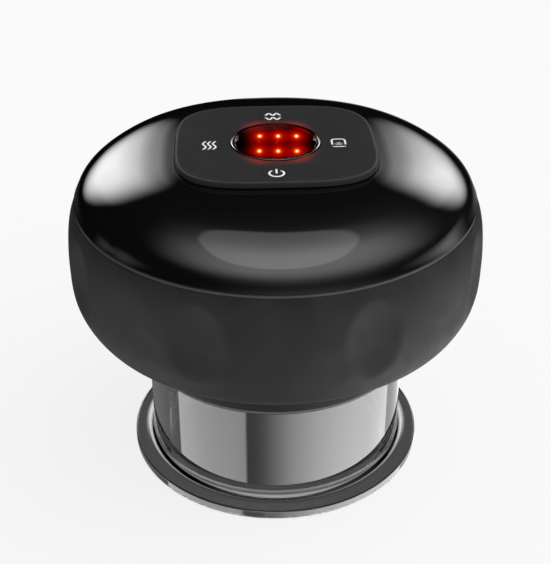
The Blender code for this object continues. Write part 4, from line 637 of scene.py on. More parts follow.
# Key pad
# One satin silicone pad with a rounded edge, seated on the dome's ledge.
# Its window hole and its key areas are moulded through it, so close that only a hairline shows.
PAD_BOTTOM = 79.3 * MM
PAD_TOP = 80.5 * MM
PAD_EDGE = 0.4 * MM
PAD_EDGE_STEPS = 5
PAD_COLUMNS = 192
WINDOW_HOLE = 10.35 * MM
KEY_RADIUS = 3.5 * MM
KEY_REACH = 15.1 * MM
KEY_PLACES = {"power": (0, -KEY_REACH), "suction": (KEY_REACH, 0), "mode": (0, KEY_REACH), "heat": (-KEY_REACH, 0)}
HAIRLINE = 0.02 * MM
SPILL_REACH = 3.0 * MM
SPILL_COLUMNS = {-4.6 * MM: 1.0, 0.0: 0.35, 5.4 * MM: 1.0}
SPILL_WIDTH = 2.4 * MM
SPILL_STRENGTH = 0.26


def pad_ring(inset, z):
    return squircle(PAD_HALF_WIDTH - inset, PAD_HALF_DEPTH - inset, PAD_POWER, z, PAD_COLUMNS)


def pierced(shape, outline_row, hole_rows):
    """A flat face inside one row of vertices and outside the others."""
    edges = []
    for row in [outline_row, *hole_rows]:
        for a, b in zip(row, row[1:] + row[:1]):
            edges.append(shape.edges.get((a, b)) or shape.edges.new((a, b)))
    bmesh.ops.triangle_fill(shape, use_beauty=True, edges=edges)


rings = [pad_ring(0.0, PAD_BOTTOM)]
for step in range(PAD_EDGE_STEPS + 1):
    turn = TURN / 4 * step / PAD_EDGE_STEPS
    rings.append(pad_ring(PAD_EDGE * (1 - math.cos(turn)), PAD_TOP - PAD_EDGE * (1 - math.sin(turn))))
rings.append(pad_ring(PAD_EDGE + 0.06 * MM, PAD_TOP))
shape = bmesh.new()
rows = banded(shape, rings, False)
holes = [(WINDOW_HOLE, 96, (0, 0))] + [(KEY_RADIUS + HAIRLINE, 64, at) for at in KEY_PLACES.values()]
walls = []
for radius, count, at in holes:
    walls.append(banded(shape, [circle(radius, z, count, at) for z in (PAD_TOP, PAD_BOTTOM)], False))
pierced(shape, rows[-1], [top for top, bottom in walls])
pierced(shape, rows[0], [bottom for top, bottom in walls])

satin = Finish("satin_silicone", (0.021, 0.021, 0.0215), 0.5, Specular_IOR_Level=0.12, Emission_Strength=1.0)
x, y, z = satin.where.parts()
# A thin lighter line follows the pad's edge: a painted highlight along its rounded edge.
on_top = z > PAD_TOP - 0.3 * MM
to_edge = (abs(x / PAD_HALF_WIDTH) ** PAD_POWER + abs(y / PAD_HALF_DEPTH) ** PAD_POWER) ** (1 / PAD_POWER)
painted_pad_edge_highlight = to_edge.ramp(0.968, 0.977) * to_edge.ramp(0.993, 0.985) * on_top
cloud = satin.noise(9, 4).ramp(0.2, 0.8, 0.0, 0.06)
satin.tint(cloud + painted_pad_edge_highlight * 0.42, (0.0165, 0.0165, 0.017), 0.085)
satin.wear((4, 5), 0.48, 0.53)
satin.bump((0.1, 2), 0.004)
# The lamps' light spills a little on the pad in front of the window and behind it.
spill = 0.0
for column, share in SPILL_COLUMNS.items():
    off = (x - column) / SPILL_WIDTH
    spill = math.e ** -(off * off) * share + spill
spill = spill * (satin.reach(x, y) - WINDOW_HOLE).ramp(SPILL_REACH, 0.0, smooth=False) ** 1.6
spill = spill * on_top * SPILL_STRENGTH
red = satin.value("ShaderNodeCombineColor", {0: spill, 1: spill * 0.03, 2: 0.0})
satin.feed(satin.shader, "Emission Color", red)
piece("key_pad_moulding", as_mesh(shape, 30), satin, "pad_grey", "key_pad")


# Keys and their marks
# The four key areas of the pad, each with its switch's stem under it, and a white mark printed on top.
# The marks are strokes of ink: power, warmth, mode and suction.
INK = 0.02 * MM
KEY_BOTTOM = 78.4 * MM
KEY_RIM = 0.4 * MM


def moulded(name, colour, roughness, grain, depth, spread):
    """A moulded finish: fine grain, faint cloudy colour and patches that shine a little more."""
    colour = rgba(colour)[:3]
    low, high = [tuple(c * (1 + s) for c in colour) for s in (-spread, spread)]
    wear = (4, 5, roughness * (1 - spread / 2), roughness * (1 + spread / 2))
    return plain(name, colour, roughness, (9, 4, low, high), wear, (grain, 2, depth))


printed_white = moulded("printed_white", 0.86, 0.5, 0.05, 0.001, 0.03)
stroking = Growth("ink_strokes", {"Width": 0.42 * MM, "Thickness": INK})
width, thickness = stroking.given["Width"], stroking.given["Thickness"]
nib = stroking.value("GeometryNodeCurvePrimitiveQuadrilateral", {"Width": width, "Height": thickness})
line = stroking.swept(stroking.given["Geometry"], nib)
dab_sizes = {"Vertices": 16, "Radius": width * 0.5, "Depth": thickness}
dab = stroking.value("GeometryNodeMeshCylinder", dab_sizes)
dabs = stroking.put(dab, Selection=stroking.value("GeometryNodeCurveEndpointSelection"))
stroking.end(stroking.joined(line, dabs))


def wave(x, reach, swing, steps=18):
    """An upright wavy line: its top bends left and its foot bends right."""
    heights = [2 * i / steps - 1 for i in range(steps + 1)]
    return [(x - swing * math.sin(TURN * 0.62 * t), reach * t) for t in heights]


def two_humps(flip):
    """One of the mode mark's two lines: two humps side by side with turned-in ends."""
    points = [(-1.68, 0.72), (-0.86, 1.8), (0.0, 0.62), (0.86, 1.8), (1.68, 0.72)]
    return [(x, y * flip) for x, y in smooth_line(points, 7)]


# Each stroke is its width in millimetres and its points from the mark's middle.
MARKS = {
    "power": [(0.5, arc((0, -0.1), 1.58, 132, 408, 34)), (0.46, [(0, 0.0), (0, 1.85)])],
    "heat": [(0.42, wave(x, 2.05, 0.34)) for x in (-1.12, 0.0, 1.12)],
    "mode": [(0.52, two_humps(1)), (0.52, two_humps(-1))],
    "suction": [
        (0.44, [(-1.5, -0.85), *arc((-0.7, 1.15), 0.8, 180, 90, 8), *arc((0.7, 1.15), 0.8, 90, 0, 8), (1.5, -0.85)]),
        (0.42, [(-1.3, -2.05), (1.3, -2.05)]),
        (0.2, [(-0.85, -0.55), (-0.45, -0.95), (0.45, -0.95), (0.85, -0.55)]),
        (0.2, [(-0.4, 0.0), (-0.2, -0.45)]), (0.2, [(0.4, 0.0), (0.2, -0.45)]), (0.2, [(0.0, 0.1), (0.0, -0.4)]),
    ],
}
# How far each mark's middle lies from its key's.
MARK_SHIFTS = {"power": (-0.5, -1.1), "heat": (0.15, -1.4), "mode": (0.0, -0.8), "suction": (-0.95, -1.2)}


def inked(strokes, at):
    """The strokes of one mark as printed ink, joined into one mesh."""
    whole = bmesh.new()
    for width, points in strokes:
        curve = bpy.data.curves.new("stroke", "CURVE")
        curve.dimensions = "3D"
        spline = curve.splines.new("POLY")
        spline.points.add(len(points) - 1)
        for point, (x, y) in zip(spline.points, points):
            point.co = (at[0] + x * MM, at[1] + y * MM, PAD_TOP + INK / 2, 1)
        line = grown(placed("stroke", curve), stroking, printed_white, Width=width * MM)
        whole.from_mesh(line.data)
        bpy.data.objects.remove(line)
    mesh = bpy.data.meshes.new("mark")
    whole.to_mesh(mesh)
    whole.free()
    return mesh


side, foot = KEY_RADIUS - HAIRLINE, KEY_RADIUS + KEY_RIM
key_profile = [(0, PAD_TOP), (KEY_RADIUS - 0.2 * MM, PAD_TOP), (side, PAD_TOP), (side, KEY_BOTTOM + 0.7 * MM),
               (foot, KEY_BOTTOM + 0.6 * MM), (foot, KEY_BOTTOM), (0, KEY_BOTTOM)]
for name, at in KEY_PLACES.items():
    key = turned(key_profile, 64, 30, Matrix.Translation((*at, 0)))
    piece(f"{name}_key_area", key, satin, "key_grey", f"{name}_key", body=f"{name}_button")
    middle = [place + shift * MM for place, shift in zip(at, MARK_SHIFTS[name])]
    piece(f"{name}_mark", inked(MARKS[name], middle), printed_white, "key_grey", body=f"{name}_button")


# Display window
# A smoked acrylic lens in a thin polished ring, over six red lamps that show the suction level.
# Its underside is a frosted film, where each lamp makes a small yellow-white core in a red glow.
WINDOW_RADIUS = 9.3 * MM
WINDOW_EDGE = 80.65 * MM
WINDOW_CROWN = 80.72 * MM
FILM_Z = 79.0 * MM
FILM_TURN = math.radians(2.6)
RING_INNER = 9.62 * MM
RING_OUTER = 10.1 * MM
RING_TOP = 80.78 * MM
RING_SQUEEZE = 0.6
LAMP_COLUMN = 4.2 * MM
LAMP_ROW = 8.0 * MM
LAMP_SHIFT = (0.6 * MM, 0.2 * MM)
GLOW_PARTS = {"red": (1.75 * MM, 3.1 * MM), "orange": (0.56 * MM, 1.02 * MM), "core": (0.27 * MM, 0.5 * MM)}

smoked = plain("smoked_acrylic", (0.5, 0.45, 0.45), 0.02, None, (3, 5, 0.015, 0.03), (2.5, 1, 0.001),
               IOR=1.35, Transmission_Weight=1.0)
film = Finish("lit_film", (0.002, 0.001, 0.001), 0.5, Specular_IOR_Level=0.0, Emission_Strength=1.0)
x, y, z = film.stretched(turn=(0, 0, FILM_TURN)).parts()
glow = dict.fromkeys(GLOW_PARTS, 0.0)
for row in (-0.5, 0.5):
    for column in (-1, 0, 1):
        dx = x - (column * LAMP_COLUMN + LAMP_SHIFT[0])
        dy = y - (row * LAMP_ROW + LAMP_SHIFT[1])
        for part, (wide, deep) in GLOW_PARTS.items():
            across, along = dx / wide, dy / deep
            glow[part] = math.e ** -(across * across + along * along) + glow[part]
mottle = film.noise(0.4, 3).ramp(0.3, 0.7, 0.92, 1.08)
light = film.value("ShaderNodeCombineColor", {
    0: glow["red"] * mottle * 1.5 + glow["orange"] * 1.6 + glow["core"] * 8.0,
    1: glow["red"] * 0.002 + glow["orange"] * 0.42 + glow["core"] * 5.4,
    2: glow["core"] * 2.4,
})
film.feed(film.shader, "Emission Color", light)

crown_shoulder = (WINDOW_RADIUS / 2, WINDOW_CROWN - 0.015 * MM)
lens_profile = smooth_line([(0, WINDOW_CROWN), crown_shoulder, (WINDOW_RADIUS - 0.1 * MM, WINDOW_EDGE)], 6)
lens_profile += [(WINDOW_RADIUS, WINDOW_EDGE - 0.1 * MM), (WINDOW_RADIUS, FILM_Z), (0, FILM_Z)]
piece("display_lens", turned(lens_profile, 96, 30), smoked, "smoked_lens")
film_top = FILM_Z - 0.05 * MM
film_profile = [(0, film_top), (WINDOW_RADIUS, film_top), (RING_OUTER, film_top), (RING_OUTER, KEY_BOTTOM),
                (0, KEY_BOTTOM)]
piece("display_film", turned(film_profile, 96, 30), film, "smoked_lens", "led_window")

polished = Finish("polished_trim", (0.22, 0.22, 0.225), 0.1, Metallic=1.0)
x, y, z = polished.where.parts()
# The ring is painted bright in front and at its sides, and dark at the back: a painted reflection.
painted_ring_reflection = y.ramp(3.0 * MM, -1.5 * MM) * abs(x).ramp(3.5 * MM, 7.5 * MM, 0.3, 1.0)
polished.tint(painted_ring_reflection, (0.03, 0.026, 0.026), 0.42)
polished.wear((1.5, 5), 0.08, 0.16)
polished.bump((0.8, 2), 0.0015)
middle, half = (RING_INNER + RING_OUTER) / 2, (RING_OUTER - RING_INNER) / 2
ring_profile = [(r, RING_TOP - (half - z) * RING_SQUEEZE) for r, z in arc((middle, 0), half, 0, 180, 12)]
ring_profile = [(RING_OUTER, PAD_BOTTOM), *ring_profile, (RING_INNER, PAD_BOTTOM)]
piece("window_ring", turned(ring_profile, 128, 60), polished, "bright_trim", "window_bezel")


# Collar
# The ring that guides the cup, moulded in black ABS and clamped between the shell's lip and the head.
# It stays on the housing when the cup is pulled off.
COLLAR_INNER = 30.9 * MM
COLLAR_OUTER = 33.3 * MM
COLLAR_TOP = 37.3 * MM
COLLAR_BOTTOM = 28.2 * MM
COLLAR_ROUND = 1.2 * MM
collar_black = Finish("collar_black", 0.01, 0.5, Specular_IOR_Level=0.06)
# The collar's lower edge has a thin lighter line, a painted highlight on its rounding.
above = collar_black.where.parts()[2] - COLLAR_BOTTOM
painted_collar_edge_highlight = above.ramp(0.5 * MM, 0.8 * MM) * above.ramp(1.4 * MM, 1.1 * MM)
collar_black.tint(painted_collar_edge_highlight + collar_black.noise(5, 4).ramp(0.2, 0.8, 0.0, 0.05), 0.009, 0.13)
collar_black.wear((3, 5), 0.45, 0.55)
collar_black.bump((0.2, 2), 0.003)
rounding_at = (COLLAR_OUTER - COLLAR_ROUND, COLLAR_BOTTOM + COLLAR_ROUND)
collar_profile = [(COLLAR_OUTER, COLLAR_TOP), (COLLAR_OUTER, rounding_at[1])]
collar_profile += arc(rounding_at, COLLAR_ROUND, -5, -90, 10)
collar_profile += [(COLLAR_INNER, COLLAR_BOTTOM), (COLLAR_INNER, COLLAR_TOP)]
piece("collar_ring", turned(collar_profile, 192, 30), collar_black, "frame_black", "cup_collar")


# Cup
# The cup is injection moulded in smoke-tinted clear plastic, with a shoulder under the collar and a rolled
# flange at its mouth. It pushes over the seal on the suction head, and pulls off to be washed.
CUP_RADIUS = 30.6 * MM
CUP_BORE = 27.6 * MM
CUP_TOP = 37.3 * MM
CUP_ROUND = 0.5 * MM
MOUTH_ROUND = 0.9 * MM
TUBE_RADIUS = 31.25 * MM
SHOULDER_Z = 27.8 * MM
SHOULDER_ROUND = 0.3 * MM
FLANGE_RADIUS = 36.0 * MM
FLANGE_THICKNESS = 2.5 * MM
FLANGE_FILLET = 2.6 * MM
FLANGE_ROUND = 0.5 * MM
HOLD = 0.04 * MM
CUP_TINT = 0.0085


def corner(radius, z, rounding, start, steps):
    """A rounded corner of a profile: a quarter turn clockwise from the start angle, in degrees."""
    centre = (radius - rounding if start > -90 else radius + rounding, z - rounding if start > 0 else z + rounding)
    return arc(centre, rounding, start, start - 90, steps)


# Points at a small hold from each corner keep its shading off the flat beside it.
fillet_at = (TUBE_RADIUS + FLANGE_FILLET, FLANGE_THICKNESS + FLANGE_FILLET)
round_at = (FLANGE_RADIUS - FLANGE_ROUND, FLANGE_THICKNESS - FLANGE_ROUND)
cup_profile = corner(CUP_RADIUS, CUP_TOP, CUP_ROUND, 90, 5)
cup_profile += [(CUP_RADIUS, CUP_TOP - CUP_ROUND - HOLD), (CUP_RADIUS, SHOULDER_Z + HOLD), (CUP_RADIUS, SHOULDER_Z)]
cup_profile += corner(TUBE_RADIUS, SHOULDER_Z, SHOULDER_ROUND, 90, 4)
cup_profile += [(TUBE_RADIUS, SHOULDER_Z - SHOULDER_ROUND - HOLD), (TUBE_RADIUS, fillet_at[1] + HOLD)]
cup_profile += arc(fillet_at, FLANGE_FILLET, 180, 270, 18)
cup_profile += [(fillet_at[0] + HOLD, FLANGE_THICKNESS), (round_at[0] - HOLD, FLANGE_THICKNESS)]
cup_profile += corner(FLANGE_RADIUS, FLANGE_THICKNESS, FLANGE_ROUND, 90, 6)
cup_profile += [(FLANGE_RADIUS, round_at[1] - HOLD), (FLANGE_RADIUS, FLANGE_ROUND + HOLD)]
cup_profile += corner(FLANGE_RADIUS, 0.0, FLANGE_ROUND, 0, 6)
cup_profile += [(round_at[0] - HOLD, 0.0), (CUP_BORE + MOUTH_ROUND + HOLD, 0.0)]
cup_profile += corner(CUP_BORE, 0.0, MOUTH_ROUND, -90, 8)
cup_profile += [(CUP_BORE, MOUTH_ROUND + HOLD), (CUP_BORE, CUP_TOP - HOLD), (CUP_BORE, CUP_TOP)]

smoke_tint = Finish("smoke_tinted_clear", CUP_TINT, 0.01, IOR=1.5, Transmission_Weight=1.0)
x, y, z = smoke_tint.where.parts()
from_axis = smoke_tint.reach(x, y)
# The tint is on the cup's outer side, and its inner side is clear. A thin line on the flange's fillet is painted
# clear and bright, most at four places round it: a painted highlight. A low band of the outer wall at the top of the
# fillet is a little less tinted.
inner_side = (from_axis < CUP_BORE + 0.3 * MM).math("MAXIMUM", z < 0.6 * MM)
quarter = (x.math("ARCTAN2", y) * 4.0).math("COSINE")
painted_fillet_highlight = from_axis.ramp(31.5 * MM, 31.8 * MM) * from_axis.ramp(32.75 * MM, 32.4 * MM) * (z < 4.6 * MM)
painted_fillet_highlight = painted_fillet_highlight * quarter.ramp(-1.0, 1.0, 0.35, 0.9)
foot = z.ramp(3.4 * MM, 4.2 * MM) * z.ramp(6.6 * MM, 5.8 * MM) * (from_axis > TUBE_RADIUS - 0.1 * MM) * 0.15
# The clear share also carries the painted fillet highlight.
clear = (inner_side + foot).math("MAXIMUM", painted_fillet_highlight)
smoke_tint.tint(clear, (CUP_TINT, CUP_TINT, CUP_TINT * 1.03), (0.95, 0.95, 0.955))
smoke_tint.wear((5, 5), 0.008, 0.016)
smoke_tint.bump((9, 1), 0.0008)
piece("clear_cup", turned(cup_profile, 256), smoke_tint, "smoke_clear", "cup", body="cup")


# Charge port
# The USB-C receptacle at the back: a drawn steel shell round a black tongue with gold contacts.
# It is soldered to its flex tail and stands on a shelf of the inner frame.
PORT_HALF = (4.47 * MM, 1.63 * MM)
PORT_SPAN_Y = (40.33 * MM, 47.05 * MM)
PORT_STEEL = 0.3 * MM
PORT_EDGE = 0.1 * MM
PORT_BACK = 0.6 * MM
TONGUE_HALF = (3.35 * MM, 0.35 * MM)
TONGUE_END = 46.1 * MM
CONTACTS = 12
CONTACT_PITCH = 0.5 * MM
CONTACT_SIZE = (0.26 * MM, 4.0 * MM, 0.03 * MM)


def stadium(half_x, half_z, y, steps=10):
    """A flat-sided oval round the port's axis, at one place along it."""
    half = [(half_x - half_z + x, z) for x, z in arc((0, 0), half_z, -90, 90, steps)]
    return [(end * x, y, PORT_Z + end * z) for end in (1, -1) for x, z in half]


def brushed(name, colour, roughness, stretch, size=0.25):
    """Metal with fine drawn lines along one axis, and cloudy wear."""
    finish = Finish(name, colour, roughness, Metallic=1.0)
    lines = finish.noise(size, 3, finish.stretched(stretch))
    finish.tint((5, 4), tuple(c * 0.88 for c in colour), tuple(min(c * 1.1, 1.0) for c in colour))
    finish.wear(lines, roughness * 0.8, roughness * 1.25)
    finish.bump(lines, 0.002)
    return finish


near, far = PORT_SPAN_Y
inner, edge = [[half - inset for half in PORT_HALF] for inset in (PORT_STEEL, PORT_EDGE)]
back = [half / 2 for half in inner]
rings = [stadium(*PORT_HALF, near), stadium(*PORT_HALF, far - PORT_EDGE), stadium(*edge, far), stadium(*inner, far),
         stadium(*inner, near + PORT_BACK), stadium(*back, near + PORT_BACK), stadium(*back, near)]
port_steel = brushed("port_steel", (0.55, 0.55, 0.56), 0.28, (1, 0.1, 1))
piece("port_shell", skinned(rings), port_steel, "steel", "charge_port")
moulded_black = moulded("moulded_black", 0.018, 0.45, 0.2, 0.004, 0.12)
tongue = slab((-TONGUE_HALF[0], near + 0.3 * MM, PORT_Z - TONGUE_HALF[1]),
              (TONGUE_HALF[0], TONGUE_END, PORT_Z + TONGUE_HALF[1]), 0.12 * MM)
piece("port_tongue", tongue, moulded_black, "frame_black")

contact_row = Growth("contact_row", {
    "Count": CONTACTS, "Pitch": CONTACT_PITCH, "Width": CONTACT_SIZE[0], "Reach": CONTACT_SIZE[1],
    "Thickness": CONTACT_SIZE[2]})
given = contact_row.given
places = {"Count": given["Count"], "Offset": contact_row.vector(given["Pitch"])}
line = contact_row.value("GeometryNodeMeshLine", places)
block = contact_row.box(given["Width"], given["Reach"], given["Thickness"])
contact_row.end(contact_row.put(contact_row.put(block, line)))


def seeds(points):
    """An object of bare points for a tree to put its instances on."""
    mesh = bpy.data.meshes.new("seeds")
    mesh.from_pydata(points, [], [])
    return placed("seeds", mesh)


gold = brushed("contact_gold", (0.75, 0.55, 0.25), 0.25, (1, 0.1, 1))
start = (-CONTACT_PITCH * (CONTACTS - 1) / 2, TONGUE_END - 2.6 * MM)
rows = seeds([(*start, PORT_Z + TONGUE_HALF[1]), (*start, PORT_Z - TONGUE_HALF[1])])
piece("port_contacts", grown(rows, contact_row, gold), gold, "brass")


# Display lamps
# Six small red lamps in black surface-mount packages with clear domes, soldered to the display board.
# They stand in two rows of three under the window and show the suction level.
LAMP_OFF_MIDDLE = 3.5 * MM
LAMP_FOOT = 75.6 * MM
LAMP_PLACES = [(x * LAMP_COLUMN, y * LAMP_OFF_MIDDLE, LAMP_FOOT) for y in (-1, 1) for x in (-1, 0, 1)]
lamp_tree = Growth("display_lamp", {"Width": 2.0 * MM, "Body height": 1.5 * MM, "Dome radius": 0.75 * MM})
width, height = lamp_tree.given["Width"], lamp_tree.given["Body height"]
body = lamp_tree.lifted(lamp_tree.box(width, width, height), height * 0.5)
dome_sizes = {"Segments": 24, "Rings": 16, "Radius": lamp_tree.given["Dome radius"]}
dome = lamp_tree.lifted(lamp_tree.value("GeometryNodeMeshUVSphere", dome_sizes), height)
dome = lamp_tree.value("GeometryNodeSetShadeSmooth", {"Geometry": dome})
lamp_tree.end(lamp_tree.put(lamp_tree.joined(body, dome)))
lamp_red = plain("lamp_red", (0.55, 0.02, 0.01), 0.2, (0.5, 3, (0.42, 0.012, 0.008), (0.7, 0.03, 0.015)),
                 (0.3, 3, 0.15, 0.3), None, Emission_Color=(1.0, 0.06, 0.02, 1), Emission_Strength=0.6)
lamp_nodes = [f"display_led_{i}" for i in range(1, 7)]
piece("display_lamps", grown(seeds(LAMP_PLACES), lamp_tree, lamp_red), lamp_red, "led_red", *lamp_nodes)


# Screws
# Pan-head thread-forming steel screws with a cross recess, turned in from below.
# Three hold the frame to the dome's bosses and two hold the suction head to the frame.
SCREW_PLACES = {
    "case_screw": ([(29.3, -1.2, 59.2), (-29.3, -1.2, 59.2), (0, -29.3, 59.2)], 6.5),
    "head_screw": ([(-20, -1.2, 36.3), (20, -1.2, 36.3)], 5.2),
}
screw = Growth("pan_head_screw", {
    "Head radius": 1.8 * MM, "Head height": 1.0 * MM, "Shank radius": 0.78 * MM, "Length": 6.5 * MM,
    "Thread pitch": 0.6 * MM, "Thread reach": 0.11 * MM, "Recess width": 0.32 * MM, "Recess depth": 0.55 * MM})
given = screw.given
head_radius, head_height, shank_radius = given["Head radius"], given["Head height"], given["Shank radius"]
low_part = head_height * 0.45
crown_sizes = {"Vertices": 40, "Radius Top": head_radius, "Radius Bottom": head_radius * 0.72, "Depth": low_part}
crown = screw.value("GeometryNodeMeshCone", crown_sizes)
rest = head_height - low_part
rim = screw.value("GeometryNodeMeshCylinder", {"Vertices": 40, "Radius": head_radius, "Depth": rest})
head = screw.joined(crown, screw.lifted(rim, low_part + rest * 0.5))
recess = screw.node("GeometryNodeMeshBoolean", {"Mesh 1": head}, operation="DIFFERENCE")
long_way, short_way, deep = head_radius * 1.25, given["Recess width"], given["Recess depth"] * 2.0
for arm in (screw.box(long_way, short_way, deep), screw.box(short_way, long_way, deep)):
    screw.feed(recess, "Mesh 2", arm)
tip_length = shank_radius * 1.2
shank_length = given["Length"] - tip_length
shank = screw.value("GeometryNodeMeshCylinder", {"Vertices": 28, "Radius": shank_radius, "Depth": shank_length})
shank = screw.lifted(shank, head_height + shank_length * 0.5)
tip_sizes = {"Vertices": 28, "Radius Top": 0.15 * MM, "Radius Bottom": shank_radius, "Depth": tip_length}
tip = screw.lifted(screw.value("GeometryNodeMeshCone", tip_sizes), head_height + shank_length)
helix = screw.value("GeometryNodeCurveSpiral", {
    "Resolution": 24, "Rotations": shank_length / given["Thread pitch"], "Start Radius": shank_radius,
    "End Radius": shank_radius, "Height": shank_length})
ridge = screw.value("GeometryNodeCurvePrimitiveCircle", {"Resolution": 5, "Radius": given["Thread reach"]})
thread = screw.lifted(screw.swept(helix, ridge), head_height)
screw.end(screw.put(screw.joined(Value(screw, recess.outputs[0]), shank, tip, thread)))
screw_steel = brushed("screw_steel", (0.50, 0.50, 0.52), 0.3, (1, 1, 0.3))
for name, (places, length) in SCREW_PLACES.items():
    made = grown(seeds([Vector(place) * MM for place in places]), screw, screw_steel, Length=length * MM)
    piece(f"{name}s", made, screw_steel, "steel", *[f"{name}_{i + 1}" for i in range(len(places))])


# Boards and switches
# Glass-epoxy boards under green solder mask, with copper tracks showing through and tinned pads.
# The four tactile switches are stamped steel over black cases, with brass stems under the keys.
TINNED = (0.62, 0.60, 0.55)


def coat(finish, *nodes):
    """The finish on CAD nodes that stay showing."""
    for node in nodes:
        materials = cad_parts[node].data.materials
        materials.clear()
        materials.append(finish.material)


def solder_mask(name, track):
    """Green mask over copper tracks: cells of a Voronoi net drawn as raised lines, with bright pads."""
    finish = Finish(name, (0.012, 0.10, 0.035), 0.3)
    net = {"Vector": finish.where, "Scale": 1 / (track * MM * 2.2), "Randomness": 0.35}
    lines = finish.value("ShaderNodeTexVoronoi", net, "Distance", feature="DISTANCE_TO_EDGE",
                         voronoi_dimensions="2D")
    copper = lines.ramp(0.1, 0.06)
    spots = {"Vector": finish.where, "Scale": 1 / (track * MM * 3.1), "Randomness": 0.6}
    pad = finish.value("ShaderNodeTexVoronoi", spots, "Distance", voronoi_dimensions="2D").ramp(0.11, 0.09)
    green = finish.blend(copper, (0.010, 0.085, 0.03), (0.03, 0.2, 0.07))
    finish.tint(pad, green, TINNED)
    finish.feed(finish.shader, "Metallic", pad)
    finish.wear((2, 4), 0.25, 0.4)
    finish.bump(copper.math("MAXIMUM", pad), 0.02)
    return finish


coat(solder_mask("board_mask", 1.1), "main_board", "display_board")
stamped = brushed("stamped_steel", (0.58, 0.58, 0.58), 0.3, (0.15, 1, 1))
brass = brushed("turned_brass", (0.72, 0.50, 0.20), 0.22, (1, 1, 6), 0.12)
for name in KEY_PLACES:
    coat(stamped, f"{name}_switch")
    coat(brass, f"{name}_switch_stem")
coat(moulded("frame_moulding", (0.035, 0.035, 0.038), 0.5, 0.3, 0.006, 0.15), "inner_frame", "light_baffle")


# Battery cell
# One 18650 lithium cell in a blue shrink sleeve, with its nickel-plated ends left bare.
# It lies in two saddles of the inner frame.
CELL_AXIS = (-13.45 * MM, 51.15 * MM)
CELL_RADIUS = 9.15 * MM
CELL_HALF = 32.5 * MM
CELL_ROUND = 0.8 * MM
CELL_END = 31.2 * MM
CELL_BARE_RADIUS = 7.4 * MM
NICKEL = (0.66, 0.64, 0.60)
BUTTON_RADIUS = 3.0 * MM
BUTTON_HEIGHT = 0.8 * MM
GROOVE_DEPTH = 0.22 * MM


def along_x(y, z, x=0.0):
    """The place of a shape turned about Z that lies along X."""
    return Matrix.Translation((x, y, z)) @ Matrix.Rotation(TURN / 4, 4, "Y")


sleeve = Finish("cell_sleeve", (0.02, 0.10, 0.36), 0.3)
x, y, z = sleeve.where.parts()
dy, dz = y - CELL_AXIS[0], z - CELL_AXIS[1]
bare = (abs(x) > CELL_END) * (sleeve.reach(dy, dz) < CELL_BARE_RADIUS)
seam = abs(dy).ramp(0.25 * MM, 0.15 * MM, 0.0, 0.35)
faded = seam + sleeve.noise(3, 4).ramp(0.3, 0.7, 0.0, 0.3)
sleeve.tint(bare, sleeve.blend(faded, (0.012, 0.075, 0.3), (0.04, 0.16, 0.46)), NICKEL)
sleeve.feed(sleeve.shader, "Metallic", bare)
sleeve.wear((1.2, 5), 0.22, 0.38)
sleeve.bump(sleeve.noise(1.6, 2, sleeve.stretched((0.2, 1, 1))), 0.004)
plus_face = CELL_HALF - BUTTON_HEIGHT
minus_face = 0.15 * MM - CELL_HALF
cell_profile = [(0, CELL_HALF), (BUTTON_RADIUS - 0.3 * MM, CELL_HALF), (BUTTON_RADIUS, CELL_HALF - 0.25 * MM),
                (BUTTON_RADIUS, plus_face - 0.1 * MM), (6.6 * MM, plus_face - 0.2 * MM),
                (7.1 * MM, plus_face - 0.15 * MM), (CELL_BARE_RADIUS, plus_face)]
cell_profile += corner(CELL_RADIUS, plus_face, CELL_ROUND, 90, 8)
cell_profile += [(CELL_RADIUS, plus_face - 2.2 * MM), (CELL_RADIUS - GROOVE_DEPTH, plus_face - 2.9 * MM),
                 (CELL_RADIUS, plus_face - 3.6 * MM)]
cell_profile += corner(CELL_RADIUS, -CELL_HALF, CELL_ROUND, 0, 8)
cell_profile += [(CELL_BARE_RADIUS, -CELL_HALF), (7.1 * MM, minus_face), (0, minus_face)]
piece("lithium_cell", turned(cell_profile, 96, 35, along_x(*CELL_AXIS)), sleeve, "cell_blue", "battery_cell")


# Motor, pump and valve
# A small direct-current motor turns a tilted pin that nods the pump's plate, which works the pump's rubber cups.
# The motor sits in rubber rings, and a solenoid valve beside it lets air back into the cup.
can_steel = brushed("motor_can_steel", (0.52, 0.52, 0.53), 0.26, (0.08, 1, 1))
shaft_steel = brushed("ground_steel", (0.68, 0.68, 0.69), 0.14, (0.3, 1, 1), 0.1)
acetal = moulded("white_acetal", (0.72, 0.72, 0.68), 0.38, 0.15, 0.004, 0.05)
rubber = moulded("black_rubber", 0.014, 0.68, 0.12, 0.01, 0.2)
glass_filled = moulded("glass_filled_nylon", (0.028, 0.028, 0.03), 0.42, 0.18, 0.01, 0.25)
spring_steel = brushed("spring_wire", (0.6, 0.6, 0.62), 0.2, (1, 1, 1), 0.08)
coat(shaft_steel, "motor_shaft", "wobble_pin", "valve_plunger")
coat(acetal, "eccentric_wheel", "wobble_plate")
coat(rubber, "pump_diaphragm")
coat(glass_filled, "pump_case", "pump_head")
coat(brass, "valve_cap")

